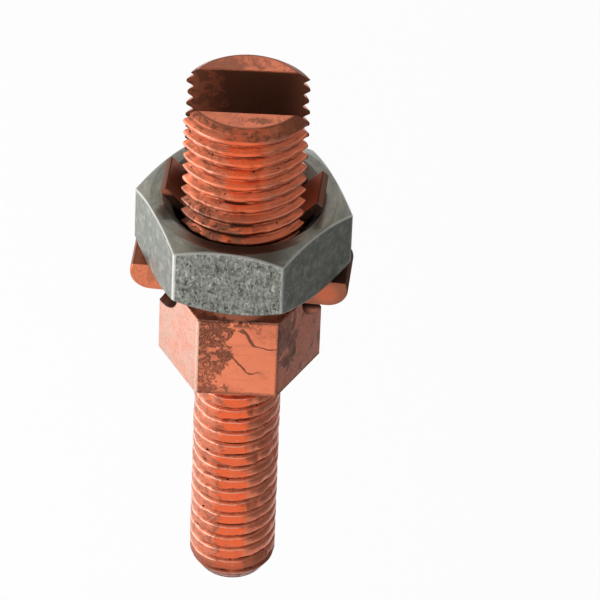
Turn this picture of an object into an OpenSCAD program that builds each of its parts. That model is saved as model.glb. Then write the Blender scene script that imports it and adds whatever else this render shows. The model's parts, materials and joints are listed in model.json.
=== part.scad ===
// Service post connector: a split threaded post on a mounting stud, with a
// pressure bar that slides in the slot and a clamping nut that carries the bar.
// All sizes are in millimetres. The origin is the centre of the collar's
// underside, +Z runs up the post and the slot runs along X.
// Threads are drawn plain, at their major diameter.

/* [Stud] */
// Major diameter of the stud's thread
stud_d = 7.9; // [5:0.1:11]
// Length of the stud below the collar
stud_l = 25; // [12:0.1:50]
// How far the chamfer at the stud's end cuts in from the side
stud_chamfer_in = 0.9; // [0.2:0.1:1.5]
// How far the chamfer at the stud's end runs along the stud
stud_chamfer_run = 1.4; // [0.2:0.1:3]

/* [Collar] */
// How far the collar's flats stand out past the legs' thread
collar_ledge = 0.05; // [0.05:0.05:4]
// Height of the hexagonal collar
collar_h = 8.6; // [7:0.1:20]

/* [Legs] */
// Major diameter of the thread across the two legs
leg_d = 12.6; // [10:0.1:20]
// Height of the legs above the collar
leg_h = 21.3; // [16:0.1:50]
// How far the chamfer at the legs' tops cuts in from the side
leg_chamfer_in = 1; // [0.2:0.1:1.5]
// How far the chamfer at the legs' tops runs down the legs
leg_chamfer_run = 0.8; // [0.2:0.1:3]
// Width of the slot between the legs
slot_w = 6; // [4:0.1:8]
// How far the slot's round bottom dips below the top of the collar
slot_dip = 3; // [0:0.1:6]

/* [Clamping nut] */
// Wall from the legs' thread out to the nut's flats
nut_wall = 2.25; // [1.5:0.05:5]
// Height of the nut
nut_h = 7; // [5:0.1:15]
// How far the nut stands turned from the collar, in degrees
nut_turn = -6.8; // [-30:0.1:30]
// Slope of the nut's corner chamfers, in degrees
nut_corner_slope = 32; // [15:1:45]
// Margin left between the nut's round faces and its flats
nut_face_margin = 0.1; // [0.05:0.05:1]
// Width and depth of the countersink at the nut's top
nut_sink = 1; // [0.2:0.1:1.4]
// Width and depth of the small countersink under the nut
nut_undersink = 0.4; // [0.1:0.1:1]
// Radial clearance between the nut's bore and the legs' thread
nut_clearance = 0.05; // [0.01:0.01:0.1]
// Gap between the bar's top and the nut's underside
nut_gap = 0.05; // [0.02:0.01:0.5]

/* [Pressure bar] */
// How far the bar's ends stand in from the nut's corners
bar_end_inset = 0.02; // [0:0.01:2]
// Thickness of the bar
bar_t = 2.8; // [1.5:0.1:5]
// Radius of the bar's ends, seen from the side
bar_end_r = 1.9; // [1:0.1:4]
// Side play of the bar in the slot, on each side
bar_play = 0.45; // [0.1:0.05:1]
// Gap left at the bar's corners when it lies turned in its play
bar_rub_gap = 0.05; // [0.02:0.01:0.1]
// How far the bar, when it is down, dips into the slot's round bottom
bar_dip = 0.25; // [0:0.05:0.4]

/* [Prongs of the bar] */
// Thickness of the two prongs that pass up through the nut
prong_t = 0.8; // [0.5:0.1:1.5]
// How far the prongs' sides stand in from the bar's sides
prong_step = 0.2; // [0.1:0.1:1]
// How far the prongs' outer corners stand inside the legs' thread
prong_inset = 0.87; // [0.6:0.01:1.5]
// How far below the nut's top the prongs start to bend outwards
prong_bend_drop = 2.25; // [1:0.05:4]
// Radius of that bend, on the side towards the nut
prong_bend_r = 2; // [0.5:0.1:3]
// How far the lips lean outwards from upright, in degrees
prong_lean = 42; // [20:1:55]
// Length of the straight lip above the bend
lip_l = 2.9; // [1.5:0.1:4]

/* [Hidden] */
$fn = 96;
copper = [0.80, 0.44, 0.31];
plating = [0.52, 0.54, 0.52];
// How far pieces of one solid reach into each other, and cutters past a face
bite = 1;
leg_r = leg_d / 2;
collar_af = leg_d + 2 * collar_ledge;
collar_ac = collar_af / cos(30);
post_top = collar_h + leg_h;
slot_axis_z = collar_h - slot_dip + slot_w / 2;
bar_w = slot_w - 2 * bar_play;
// The bar stops near where the slot's walls start to close in, or at the collar
bar_z = max(slot_axis_z, collar_h) - bar_dip;
// The arc of an end spans the bar's whole thickness
end_r = max(bar_end_r, bar_t / 2);
// The bar lies turned as far as its play between the legs lets it
leg_flat_l = 2 * sqrt(leg_r * leg_r - slot_w * slot_w / 4);
bar_turn = -atan(2 * (bar_play - bar_rub_gap) / leg_flat_l);
nut_z = bar_z + bar_t + nut_gap;
nut_af = leg_d + 2 * nut_wall;
nut_ac = nut_af / cos(30);
nut_face_r = nut_af / 2 - nut_face_margin;
// The bar bears on the nut from corner to corner
bar_l = nut_ac - 2 * bar_end_inset;
nut_bore_r = leg_r + nut_clearance;
prong_w = bar_w - 2 * prong_step;
prong_x = sqrt(pow(leg_r - prong_inset, 2) - pow(prong_w / 2, 2));
prong_root_z = bar_t / 2;
prong_bend_z = bar_t + nut_gap + nut_h - prong_bend_drop;
bend_steps = 12;

// Threaded stud with a chamfered end
module stud() {
    rotate_extrude()
        polygon([
            [0, -stud_l],
            [stud_d / 2 - stud_chamfer_in, -stud_l],
            [stud_d / 2, stud_chamfer_run - stud_l],
            [stud_d / 2, bite],
            [0, bite]
        ]);
}

// Hexagonal collar, corners on the slot's line
module collar() {
    cylinder(d = collar_ac, h = collar_h, $fn = 6);
}

// Round blank that the slot divides into two legs
module leg_blank() {
    rotate_extrude()
        polygon([
            [0, collar_h - bite],
            [leg_r, collar_h - bite],
            [leg_r, post_top - leg_chamfer_run],
            [leg_r - leg_chamfer_in, post_top],
            [0, post_top]
        ]);
}

// Cutter for the slot, with its half-round bottom
module slot_cut() {
    cut_l = max(collar_ac, leg_d) + 2 * bite;
    translate([0, 0, slot_axis_z]) {
        rotate([0, 90, 0])
            cylinder(d = slot_w, h = cut_l, center = true);
        translate([-cut_l / 2, -slot_w / 2, 0])
            cube([cut_l, slot_w, post_top - slot_axis_z + bite]);
    }
}

// Stud, collar and legs, turned and slotted from one bar
module post_body() {
    color(copper)
        difference() {
            union() {
                stud();
                collar();
                leg_blank();
            }
            slot_cut();
        }
}

// Round envelope that bevels the nut's corners on both faces
module nut_envelope() {
    reach_r = nut_ac / 2 + bite;
    drop = (reach_r - nut_face_r) * tan(nut_corner_slope);
    rotate_extrude()
        polygon([
            [0, 0],
            [nut_face_r, 0],
            [reach_r, drop],
            [reach_r, nut_h - drop],
            [nut_face_r, nut_h],
            [0, nut_h]
        ]);
}

// Cutter for the nut's bore, with a countersink at each end
module nut_bore_cut() {
    rotate_extrude()
        polygon([
            [0, -bite],
            [nut_bore_r + nut_undersink + bite, -bite],
            [nut_bore_r, nut_undersink],
            [nut_bore_r, nut_h - nut_sink],
            [nut_bore_r + nut_sink + bite, nut_h + bite],
            [0, nut_h + bite]
        ]);
}

// Hexagonal nut that runs on the legs
module clamping_nut() {
    color(plating)
        translate([0, 0, nut_z])
            rotate([0, 0, nut_turn])
                difference() {
                    intersection() {
                        cylinder(d = nut_ac, h = nut_h, $fn = 6);
                        nut_envelope();
                    }
                    nut_bore_cut();
                }
}

// Side view of the bar: a flat top, and ends rounded like a boat's
module bar_side() {
    intersection() {
        translate([-bar_l / 2, 0])
            square([bar_l, bar_t]);
        union() {
            translate([end_r - bar_l / 2, 0])
                square([bar_l - 2 * end_r, bar_t]);
            for (side = [-1, 1])
                translate([side * (bar_l / 2 - end_r), end_r])
                    circle(r = end_r);
        }
    }
}

// Point on the prong's bend, a given number of steps on from upright
function bend_point(radius, step) =
    let (angle = 180 - prong_lean * step / bend_steps)
    [
        prong_x + prong_bend_r + radius * cos(angle),
        prong_bend_z + radius * sin(angle)
    ];

// Corner of the lip's end that lies straight on from the bend
function lip_corner(radius) =
    bend_point(radius, bend_steps) + lip_l * [sin(prong_lean), cos(prong_lean)];

// Side view of one prong: upright through the nut, then bent out over it
module prong_side() {
    back_r = prong_bend_r + prong_t;
    polygon(concat(
        [[prong_x, prong_root_z]],
        [for (step = [0:bend_steps]) bend_point(prong_bend_r, step)],
        [lip_corner(prong_bend_r), lip_corner(back_r)],
        [for (step = [bend_steps:-1:0]) bend_point(back_r, step)],
        [[prong_x - prong_t, prong_root_z]]
    ));
}

// Side view drawn in X and Z, given a width along Y
module across(width) {
    rotate([90, 0, 0])
        linear_extrude(height = width, center = true)
            children();
}

// Bar with its two prongs, turned in the slot's play
module pressure_bar() {
    color(copper)
        translate([0, 0, bar_z])
            rotate([0, 0, bar_turn]) {
                across(bar_w)
                    bar_side();
                for (side = [0, 1])
                    mirror([side, 0, 0])
                        across(prong_w)
                            prong_side();
            }
}

post_body();
clamping_nut();
pressure_bar();
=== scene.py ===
"""Looks of a service post connector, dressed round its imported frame.

A split copper post carries a plated nut and a captive pressure bar. Lengths are
in millimetres, in the object's own frame: +Z runs up the post and X runs along
the slot. They become metres where a mesh, a lamp or the camera is placed.
"""

import json
import logging
import math
from dataclasses import dataclass, field
from enum import Enum
from typing import Any

import bmesh
import bpy
import numpy as np
from mathutils import Matrix, Quaternion, Vector, noise

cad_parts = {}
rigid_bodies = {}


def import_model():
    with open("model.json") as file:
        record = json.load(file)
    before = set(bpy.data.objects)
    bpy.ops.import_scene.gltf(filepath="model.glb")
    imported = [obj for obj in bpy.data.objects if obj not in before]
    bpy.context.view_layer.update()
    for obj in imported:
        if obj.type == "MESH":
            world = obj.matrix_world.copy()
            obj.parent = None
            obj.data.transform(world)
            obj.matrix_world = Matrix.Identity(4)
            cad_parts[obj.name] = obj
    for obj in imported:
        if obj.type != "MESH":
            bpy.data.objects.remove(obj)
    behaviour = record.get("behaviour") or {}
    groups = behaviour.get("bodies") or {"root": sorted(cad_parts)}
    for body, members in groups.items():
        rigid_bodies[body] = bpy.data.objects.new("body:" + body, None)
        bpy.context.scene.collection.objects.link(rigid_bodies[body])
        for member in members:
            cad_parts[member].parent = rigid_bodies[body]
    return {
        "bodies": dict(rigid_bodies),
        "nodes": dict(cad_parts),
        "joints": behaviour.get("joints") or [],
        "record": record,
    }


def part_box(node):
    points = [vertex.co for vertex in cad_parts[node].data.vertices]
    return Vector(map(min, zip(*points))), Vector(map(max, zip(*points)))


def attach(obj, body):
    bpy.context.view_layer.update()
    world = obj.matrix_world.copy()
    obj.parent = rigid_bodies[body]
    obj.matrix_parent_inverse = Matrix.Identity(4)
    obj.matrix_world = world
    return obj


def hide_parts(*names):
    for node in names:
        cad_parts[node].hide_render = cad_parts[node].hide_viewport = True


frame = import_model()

MM = 0.001
PER_METRE = 1000.0
INCH = 25.4
IMAGE_SIZE = 600
SHARP_EDGE = math.radians(38)
HEX_STEP = math.pi / 3
FLANK_DEGREES = 60
SPARE_TURNS = 2
WHITE = (1.0, 1.0, 1.0)
LOG = logging.getLogger("service_post")

Colour = tuple[float, float, float]
Point = tuple[float, float, float]
Pair = tuple[float, float]
Outline = list[Pair]
Face = tuple[int, ...]


class Cut(Enum):
    """How one closed mesh works on another."""

    JOIN = "UNION"
    TAKE = "DIFFERENCE"
    KEEP = "INTERSECT"


class Side(Enum):
    """End of the bar that a prong stands on."""

    LEFT = -1
    RIGHT = 1


class Axis(Enum):
    """Direction that a flat outline is pushed along."""

    ALONG_SLOT = "X"
    ACROSS_SLOT = "Y"


class CollarFace(Enum):
    """Flats of the collar that the photo shows, with the degrees from +X that they face."""

    LEFT = 210
    FRONT = 270
    RIGHT = 330


class Tone(Enum):
    """Patinas that lie over clean copper, from the lowest up; BROWN, MAROON and SOOT also paint shade, and
    BRIGHT also paints highlights.
    """

    DEEP = "red metal in the threads"
    DULL = "metal with a thin brown bloom"
    PALE = "rubbed metal"
    BROWN = "tarnish"
    MAROON = "heavy red tarnish"
    # SOOT also paints shadow: in the slot, low on the prongs and on the bar's shaded end.
    SOOT = "black stains"
    # BRIGHT also paints highlights: on the collar's lit edges and as glints on the threads' crests.
    BRIGHT = "freshly worn edges"


@dataclass(frozen=True)
class FrameSizes:
    """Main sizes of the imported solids.

    Attributes:
        stud_end: Height of the stud's free end.
        stud_r: Major radius of the stud's thread.
        collar_top: Height of the collar's top face.
        collar_corner: Distance from the axis to a collar corner.
        post_top: Height of the legs' tops.
        nut_low: Height of the nut's underside.
        nut_high: Height of the nut's top.
        bar_low: Height of the bar's underside.
    """

    stud_end: float
    stud_r: float
    collar_top: float
    collar_corner: float
    post_top: float
    nut_low: float
    nut_high: float
    bar_low: float

    @classmethod
    def read(cls, packed: dict[str, Any]) -> "FrameSizes":
        """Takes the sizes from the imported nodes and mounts.


        Returns:
            The sizes in millimetres.
        """
        mounts = {mount["name"]: mount for mount in packed["record"]["mounts"]}
        post_low, post_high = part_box("post_body")
        nut_low, nut_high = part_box("clamping_nut")
        bar_low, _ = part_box("pressure_bar")
        return cls(
            stud_end=post_low.z * PER_METRE,
            stud_r=mounts["stud"]["dims"]["r_mm"],
            collar_top=mounts["conductor_slot"]["pos_m"][2] * PER_METRE,
            collar_corner=post_high.x * PER_METRE,
            post_top=post_high.z * PER_METRE,
            nut_low=nut_low.z * PER_METRE,
            nut_high=nut_high.z * PER_METRE,
            bar_low=bar_low.z * PER_METRE,
        )

    @property
    def collar_flat(self) -> float:
        """Distance from the axis to a flat of the collar."""
        return self.collar_corner * math.cos(HEX_STEP / 2)


@dataclass(frozen=True)
class Thread:
    """A right-hand 60 degree thread with rounded crests and roots.

    Attributes:
        major_r: Radius of the crests.
        pitch: Rise in one turn.
        phase: Height, as a share of the pitch, at which a crest crosses +X.
        flat_share: Width of the crests' flats as a share of the pitch.
        crest_share: Radius at the crests' edges as a share of the pitch.
        root_share: Radius of the roots as a share of the pitch.
        depth_share: Depth of the groove as a share of the pitch.
    """

    major_r: float
    pitch: float
    phase: float
    flat_share: float
    crest_share: float
    root_share: float
    depth_share: float

    def profile(self) -> tuple[np.ndarray, np.ndarray]:
        """Gives one pitch of the profile, from a crest up to the next.

        Returns:
            Heights as shares of the pitch, and drops below the crest.
        """
        swing = np.radians(np.linspace(-FLANK_DEGREES, FLANK_DEGREES, 5))
        climb = swing[:3]
        fall = swing[2:]
        crest = self.crest_share
        root = self.root_share
        flat = self.flat_share / 2
        heights = np.concatenate([
            crest * np.sin(climb) - flat, crest * np.sin(fall) + flat, 0.5 + root * np.sin(swing),
        ])
        drops = np.concatenate([
            crest * (1 - np.cos(climb)), crest * (1 - np.cos(fall)),
            self.depth_share - root * (1 - np.cos(swing)),
        ])
        return heights, drops * self.pitch

    def radius(self, angle: np.ndarray, height: np.ndarray) -> np.ndarray:
        """Gives the thread's radius at points round and along its axis.

        Args:
            angle: Angles from +X in radians.
            height: Heights along the axis.

        Returns:
            One radius for each point.
        """
        shares, drops = self.profile()
        place = (height / self.pitch - self.phase - angle / math.tau) % 1.0
        around = np.concatenate([shares - 1, shares, shares + 1])
        return self.major_r - np.interp(place, around, np.tile(drops, 3))


class Shape:
    """Closed meshes in millimetres, and the cuts that join them."""

    @staticmethod
    def make(name: str, points: np.ndarray, faces: list[Face]) -> bpy.types.Object:
        """Makes a mesh object.

        Args:
            name: Name of the object.
            points: One row of three lengths for each point.
            faces: Point numbers of each face, counter-clockwise from outside.

        Returns:
            The object, linked to the scene.
        """
        mesh = bpy.data.meshes.new(name)
        mesh.from_pydata(np.asarray(points, float).tolist(), [], faces)
        mesh.update()
        made = bpy.data.objects.new(name, mesh)
        bpy.context.scene.collection.objects.link(made)
        return made

    @staticmethod
    def bands(rows: int, columns: int, first: int = 0) -> list[Face]:
        """Joins rings of points, one above the other, with four-sided faces.

        Args:
            rows: Number of rings.
            columns: Number of points in a ring.
            first: Number of the first point.

        Returns:
            Point numbers of each face, counter-clockwise from outside.
        """
        faces = []
        for low in range(first, first + (rows - 1) * columns, columns):
            high = low + columns
            for step in range(columns):
                after = (step + 1) % columns
                faces.append((low + step, low + after, high + after, high + step))
        return faces

    @staticmethod
    def lathe(name: str, outline: Outline, columns: int) -> bpy.types.Object:
        """Turns an outline about the axis.

        Args:
            name: Name of the object.
            outline: Radius and height of each point, from the bottom up, with
                the first and the last on the axis.
            columns: Number of steps round the axis.

        Returns:
            The turned solid.
        """
        angles = np.arange(columns) * math.tau / columns
        rings = outline[1:-1]
        points = [(0.0, 0.0, outline[0][1])]
        for radius, height in rings:
            points += [(radius * math.cos(a), radius * math.sin(a), height) for a in angles]
        points.append((0.0, 0.0, outline[-1][1]))
        top = len(points) - 1
        last = 1 + (len(rings) - 1) * columns
        faces = Shape.bands(len(rings), columns, 1)
        for step in range(columns):
            after = (step + 1) % columns
            faces.append((0, 1 + after, 1 + step))
            faces.append((top, last + step, last + after))
        return Shape.make(name, np.array(points), faces)

    @staticmethod
    def prism(name: str, outline: Outline, reach: float, axis: Axis) -> bpy.types.Object:
        """Pushes a flat outline both ways along one axis.

        Args:
            name: Name of the object.
            outline: Points in the other horizontal axis and Z.
            reach: How far the solid runs each way.
            axis: The axis.

        Returns:
            The straight solid.
        """
        count = len(outline)
        across, up = np.array(outline, float).T
        ends = []
        for along in (-reach, reach):
            line = np.full(count, along)
            level = (line, across) if axis is Axis.ALONG_SLOT else (across, line)
            ends.append(np.stack((*level, up), axis=1))
        faces = [tuple(range(count)), tuple(range(2 * count - 1, count - 1, -1))]
        for step in range(count):
            after = (step + 1) % count
            faces.append((step, count + step, count + after, after))
        made = Shape.make(name, np.concatenate(ends), faces)
        Shape.face_outwards(made)
        return made

    @staticmethod
    def threaded_rod(name: str, thread: Thread, low: float, high: float, columns: int,
                     wear: float) -> bpy.types.Object:
        """Makes a rod whose skin follows a helix, longer than asked at both ends.

        Args:
            name: Name of the object.
            thread: The thread that it carries.
            low: Height that it must reach below.
            high: Height that it must reach above.
            columns: Number of steps round the axis.
            wear: How far the crests wander, in millimetres.

        Returns:
            The threaded solid.
        """
        shares, drops = thread.profile()
        per_turn = len(shares)
        first = math.floor(low / thread.pitch - thread.phase) - SPARE_TURNS
        turns = math.ceil((high - low) / thread.pitch) + 2 * SPARE_TURNS
        rows = turns * per_turn
        row = np.arange(rows + 1)
        angle = np.arange(columns) * math.tau / columns
        rise = first + row // per_turn + shares[row % per_turn] + thread.phase
        height = thread.pitch * (rise[None, :] + angle[:, None] / math.tau)
        radius = thread.major_r - drops[row % per_turn]
        x = radius * np.cos(angle)[:, None]
        y = radius * np.sin(angle)[:, None]
        points = Shape.dented(np.stack([x, y, height], axis=2).reshape(-1, 3), wear, thread.pitch)

        def at(column: int, place: int) -> int:
            """Number of the point in a column, a given number of rows up."""
            return column * (rows + 1) + place

        faces = []
        for column in range(columns - 1):
            for place in range(rows):
                faces.append((at(column, place), at(column + 1, place),
                              at(column + 1, place + 1), at(column, place + 1)))
        end = columns - 1
        for place in range(rows - per_turn):
            faces.append((at(end, place), at(0, place + per_turn),
                          at(0, place + per_turn + 1), at(end, place + 1)))
        bottom = len(points)
        top = bottom + 1
        mean = height.mean(axis=0)
        points = np.concatenate([points, [(0, 0, mean[0]), (0, 0, mean[-1])]])
        low_loop = [at(column, 0) for column in range(columns)]
        low_loop += [at(0, place) for place in range(per_turn, 0, -1)]
        high_loop = [at(column, rows) for column in range(columns)]
        high_loop += [at(end, place) for place in range(rows - 1, rows - per_turn - 1, -1)]
        for loop, pole, flip in ((low_loop, bottom, True), (high_loop, top, False)):
            for one, two in zip(loop, loop[1:] + loop[:1]):
                faces.append((pole, two, one) if flip else (pole, one, two))
        return Shape.make(name, points, faces)

    @staticmethod
    def dented(points: np.ndarray, depth: float, scale: float) -> np.ndarray:
        """Moves points in from the outside, as handling dents a thread.

        Args:
            points: One row of three lengths for each point.
            depth: Largest movement by the broad dents.
            scale: Size of the broad dents.

        Returns:
            The moved points.
        """
        fine_depth = 0.4
        fine_rate = 3.1
        moved = points.copy()
        for number, point in enumerate(points):
            place = Vector(point) / scale
            push = (noise.noise(place) + fine_depth * noise.noise(place * fine_rate)) * depth
            reach = math.hypot(point[0], point[1])
            moved[number, :2] *= 1 + min(push, 0.0) / max(reach, depth)
        return moved

    @staticmethod
    def rounded_hexagon(flat_r: float, corner_r: float, per_flat: int, per_corner: int,
                        margin: float = 0.0) -> np.ndarray:
        """Draws a hexagon with rounded corners, one corner on +X.

        Args:
            flat_r: Distance from the centre to a flat.
            corner_r: Radius of the corners.
            per_flat: Number of points on a flat, between its corners.
            per_corner: Number of steps round a corner.
            margin: Distance from a corner's rounding to the first of those points.

        Returns:
            One row of two lengths for each point, counter-clockwise.
        """

        def ray(angle: float) -> np.ndarray:
            """Gives the flat vector of length 1 at an angle."""
            return np.array([math.cos(angle), math.sin(angle)])

        centre = (flat_r - corner_r) / math.cos(HEX_STEP / 2)
        arcs = []
        for middle in np.arange(6) * HEX_STEP:
            sweep = np.linspace(-HEX_STEP / 2, HEX_STEP / 2, per_corner + 1) + middle
            arcs.append([centre * ray(middle) + corner_r * ray(angle) for angle in sweep])
        points = []
        for arc, following in zip(arcs, arcs[1:] + arcs[:1]):
            points += arc
            side = following[0] - arc[-1]
            edge = margin / np.linalg.norm(side)
            points += [arc[-1] + side * share for share in np.linspace(edge, 1 - edge, per_flat)]
        return np.array(points)

    @staticmethod
    def face_outwards(target: bpy.types.Object) -> None:
        """Turns every face of a closed mesh outwards.

        Args:
            target: Mesh that is changed.
        """
        work = bmesh.new()
        work.from_mesh(target.data)
        bmesh.ops.recalc_face_normals(work, faces=work.faces)
        work.to_mesh(target.data)
        work.free()

    @staticmethod
    def freeze(target: bpy.types.Object) -> None:
        """Turns an object's modifiers into mesh.

        Args:
            target: Object that is changed.
        """
        graph = bpy.context.evaluated_depsgraph_get()
        mesh = bpy.data.meshes.new_from_object(target.evaluated_get(graph))
        target.modifiers.clear()
        old = target.data
        target.data = mesh
        bpy.data.meshes.remove(old)

    @staticmethod
    def combine(target: bpy.types.Object, tool: bpy.types.Object, cut: Cut) -> None:
        """Cuts one closed mesh by another, which is used up.

        Args:
            target: Mesh that is changed.
            tool: Mesh that changes it.
            cut: How it does.
        """
        step = target.modifiers.new("cut", "BOOLEAN")
        step.operation = cut.value
        step.solver = "MANIFOLD"
        step.object = tool
        Shape.freeze(target)
        bpy.data.objects.remove(tool)

    @staticmethod
    def soften(target: bpy.types.Object, width: float, steps: int) -> None:
        """Rounds an object's sharp edges.

        Args:
            target: Mesh that is changed.
            width: Width of the rounding.
            steps: Number of faces across it.
        """
        step = target.modifiers.new("soften", "BEVEL")
        step.width = width
        step.segments = steps
        step.limit_method = "ANGLE"
        step.angle_limit = SHARP_EDGE
        Shape.freeze(target)

    @staticmethod
    def settle(target: bpy.types.Object, node: str, body: str, slot: str) -> None:
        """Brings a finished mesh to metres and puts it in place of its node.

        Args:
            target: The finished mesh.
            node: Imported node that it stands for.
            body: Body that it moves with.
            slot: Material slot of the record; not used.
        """
        target.data.transform(Matrix.Scale(MM, 4))
        target.data.shade_smooth()
        target.data.set_sharp_from_angle(angle=SHARP_EDGE)
        target.data.update()
        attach(target, body)
        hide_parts(node)
        LOG.info("%s: %d points", target.name, len(target.data.vertices))

    @staticmethod
    def cover(target: bpy.types.Object, material: bpy.types.Material) -> None:
        """Gives an object one material and no other."""
        target.data.materials.clear()
        target.data.materials.append(material)

    @staticmethod
    def sheet(name: str, size: Pair, place: Point, turn: Quaternion) -> bpy.types.Object:
        """Stands up a flat sheet of the studio.

        Args:
            name: Name of the object.
            size: Its width and height.
            place: Its centre.
            turn: How it is turned from lying level.

        Returns:
            The sheet, already in metres.
        """
        wide, high = size[0] / 2, size[1] / 2
        corners = [(-wide, -high, 0), (wide, -high, 0), (wide, high, 0), (-wide, high, 0)]
        points = np.array([turn @ Vector(corner) + Vector(place) for corner in corners]) * MM
        made = Shape.make(name, points, [(0, 1, 2, 3)])
        return made


class Value:
    """A shader value whose arithmetic adds Math nodes."""

    def __init__(self, graph: "Graph", socket: bpy.types.NodeSocket) -> None:
        """Wraps one output socket of a graph."""
        self.graph = graph
        self.socket = socket

    def __add__(self, other: "Value | float") -> "Value":
        """Adds."""
        return self.graph.maths("ADD", self, other)

    __radd__ = __add__

    def __sub__(self, other: "Value | float") -> "Value":
        """Takes away."""
        return self.graph.maths("SUBTRACT", self, other)

    def __rsub__(self, other: float) -> "Value":
        """Takes this from a number."""
        return self.graph.maths("SUBTRACT", other, self)

    def __mul__(self, other: "Value | float") -> "Value":
        """Multiplies."""
        return self.graph.maths("MULTIPLY", self, other)

    __rmul__ = __mul__

    def __truediv__(self, other: "Value | float") -> "Value":
        """Divides."""
        return self.graph.maths("DIVIDE", self, other)

    def __rtruediv__(self, other: float) -> "Value":
        """Divides a number by this."""
        return self.graph.maths("DIVIDE", other, self)

    def __pow__(self, other: "Value | float") -> "Value":
        """Raises to a power."""
        return self.graph.maths("POWER", self, other)

    def __abs__(self) -> "Value":
        """Drops the sign."""
        return self.graph.maths("ABSOLUTE", self)

    def least(self, other: "Value | float") -> "Value":
        """Gives the smaller of two values."""
        return self.graph.maths("MINIMUM", self, other)

    def most(self, other: "Value | float") -> "Value":
        """Gives the larger of two values."""
        return self.graph.maths("MAXIMUM", self, other)

    def fade(self, low: float, high: float) -> "Value":
        """Rises smoothly from 0 at low to 1 at high, or falls if high is less.

        Args:
            low: Value that gives 0.
            high: Value that gives 1.

        Returns:
            A value from 0 to 1.
        """
        made = self.graph.node(
            "ShaderNodeMapRange",
            {"interpolation_type": "SMOOTHSTEP", "clamp": True},
            {"Value": self, "From Min": min(low, high), "From Max": max(low, high),
             "To Min": 0.0 if low < high else 1.0, "To Max": 1.0 if low < high else 0.0},
        )
        return Value(self.graph, made.outputs["Result"])

    def squared(self) -> "Value":
        """Multiplies by itself."""
        return self * self

    def pick(self, off: "Value | float", on: "Value | float") -> "Value":
        """Gives off where this is 0, on where it is 1, and a mix between."""
        return off + (on - off) * self


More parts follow.
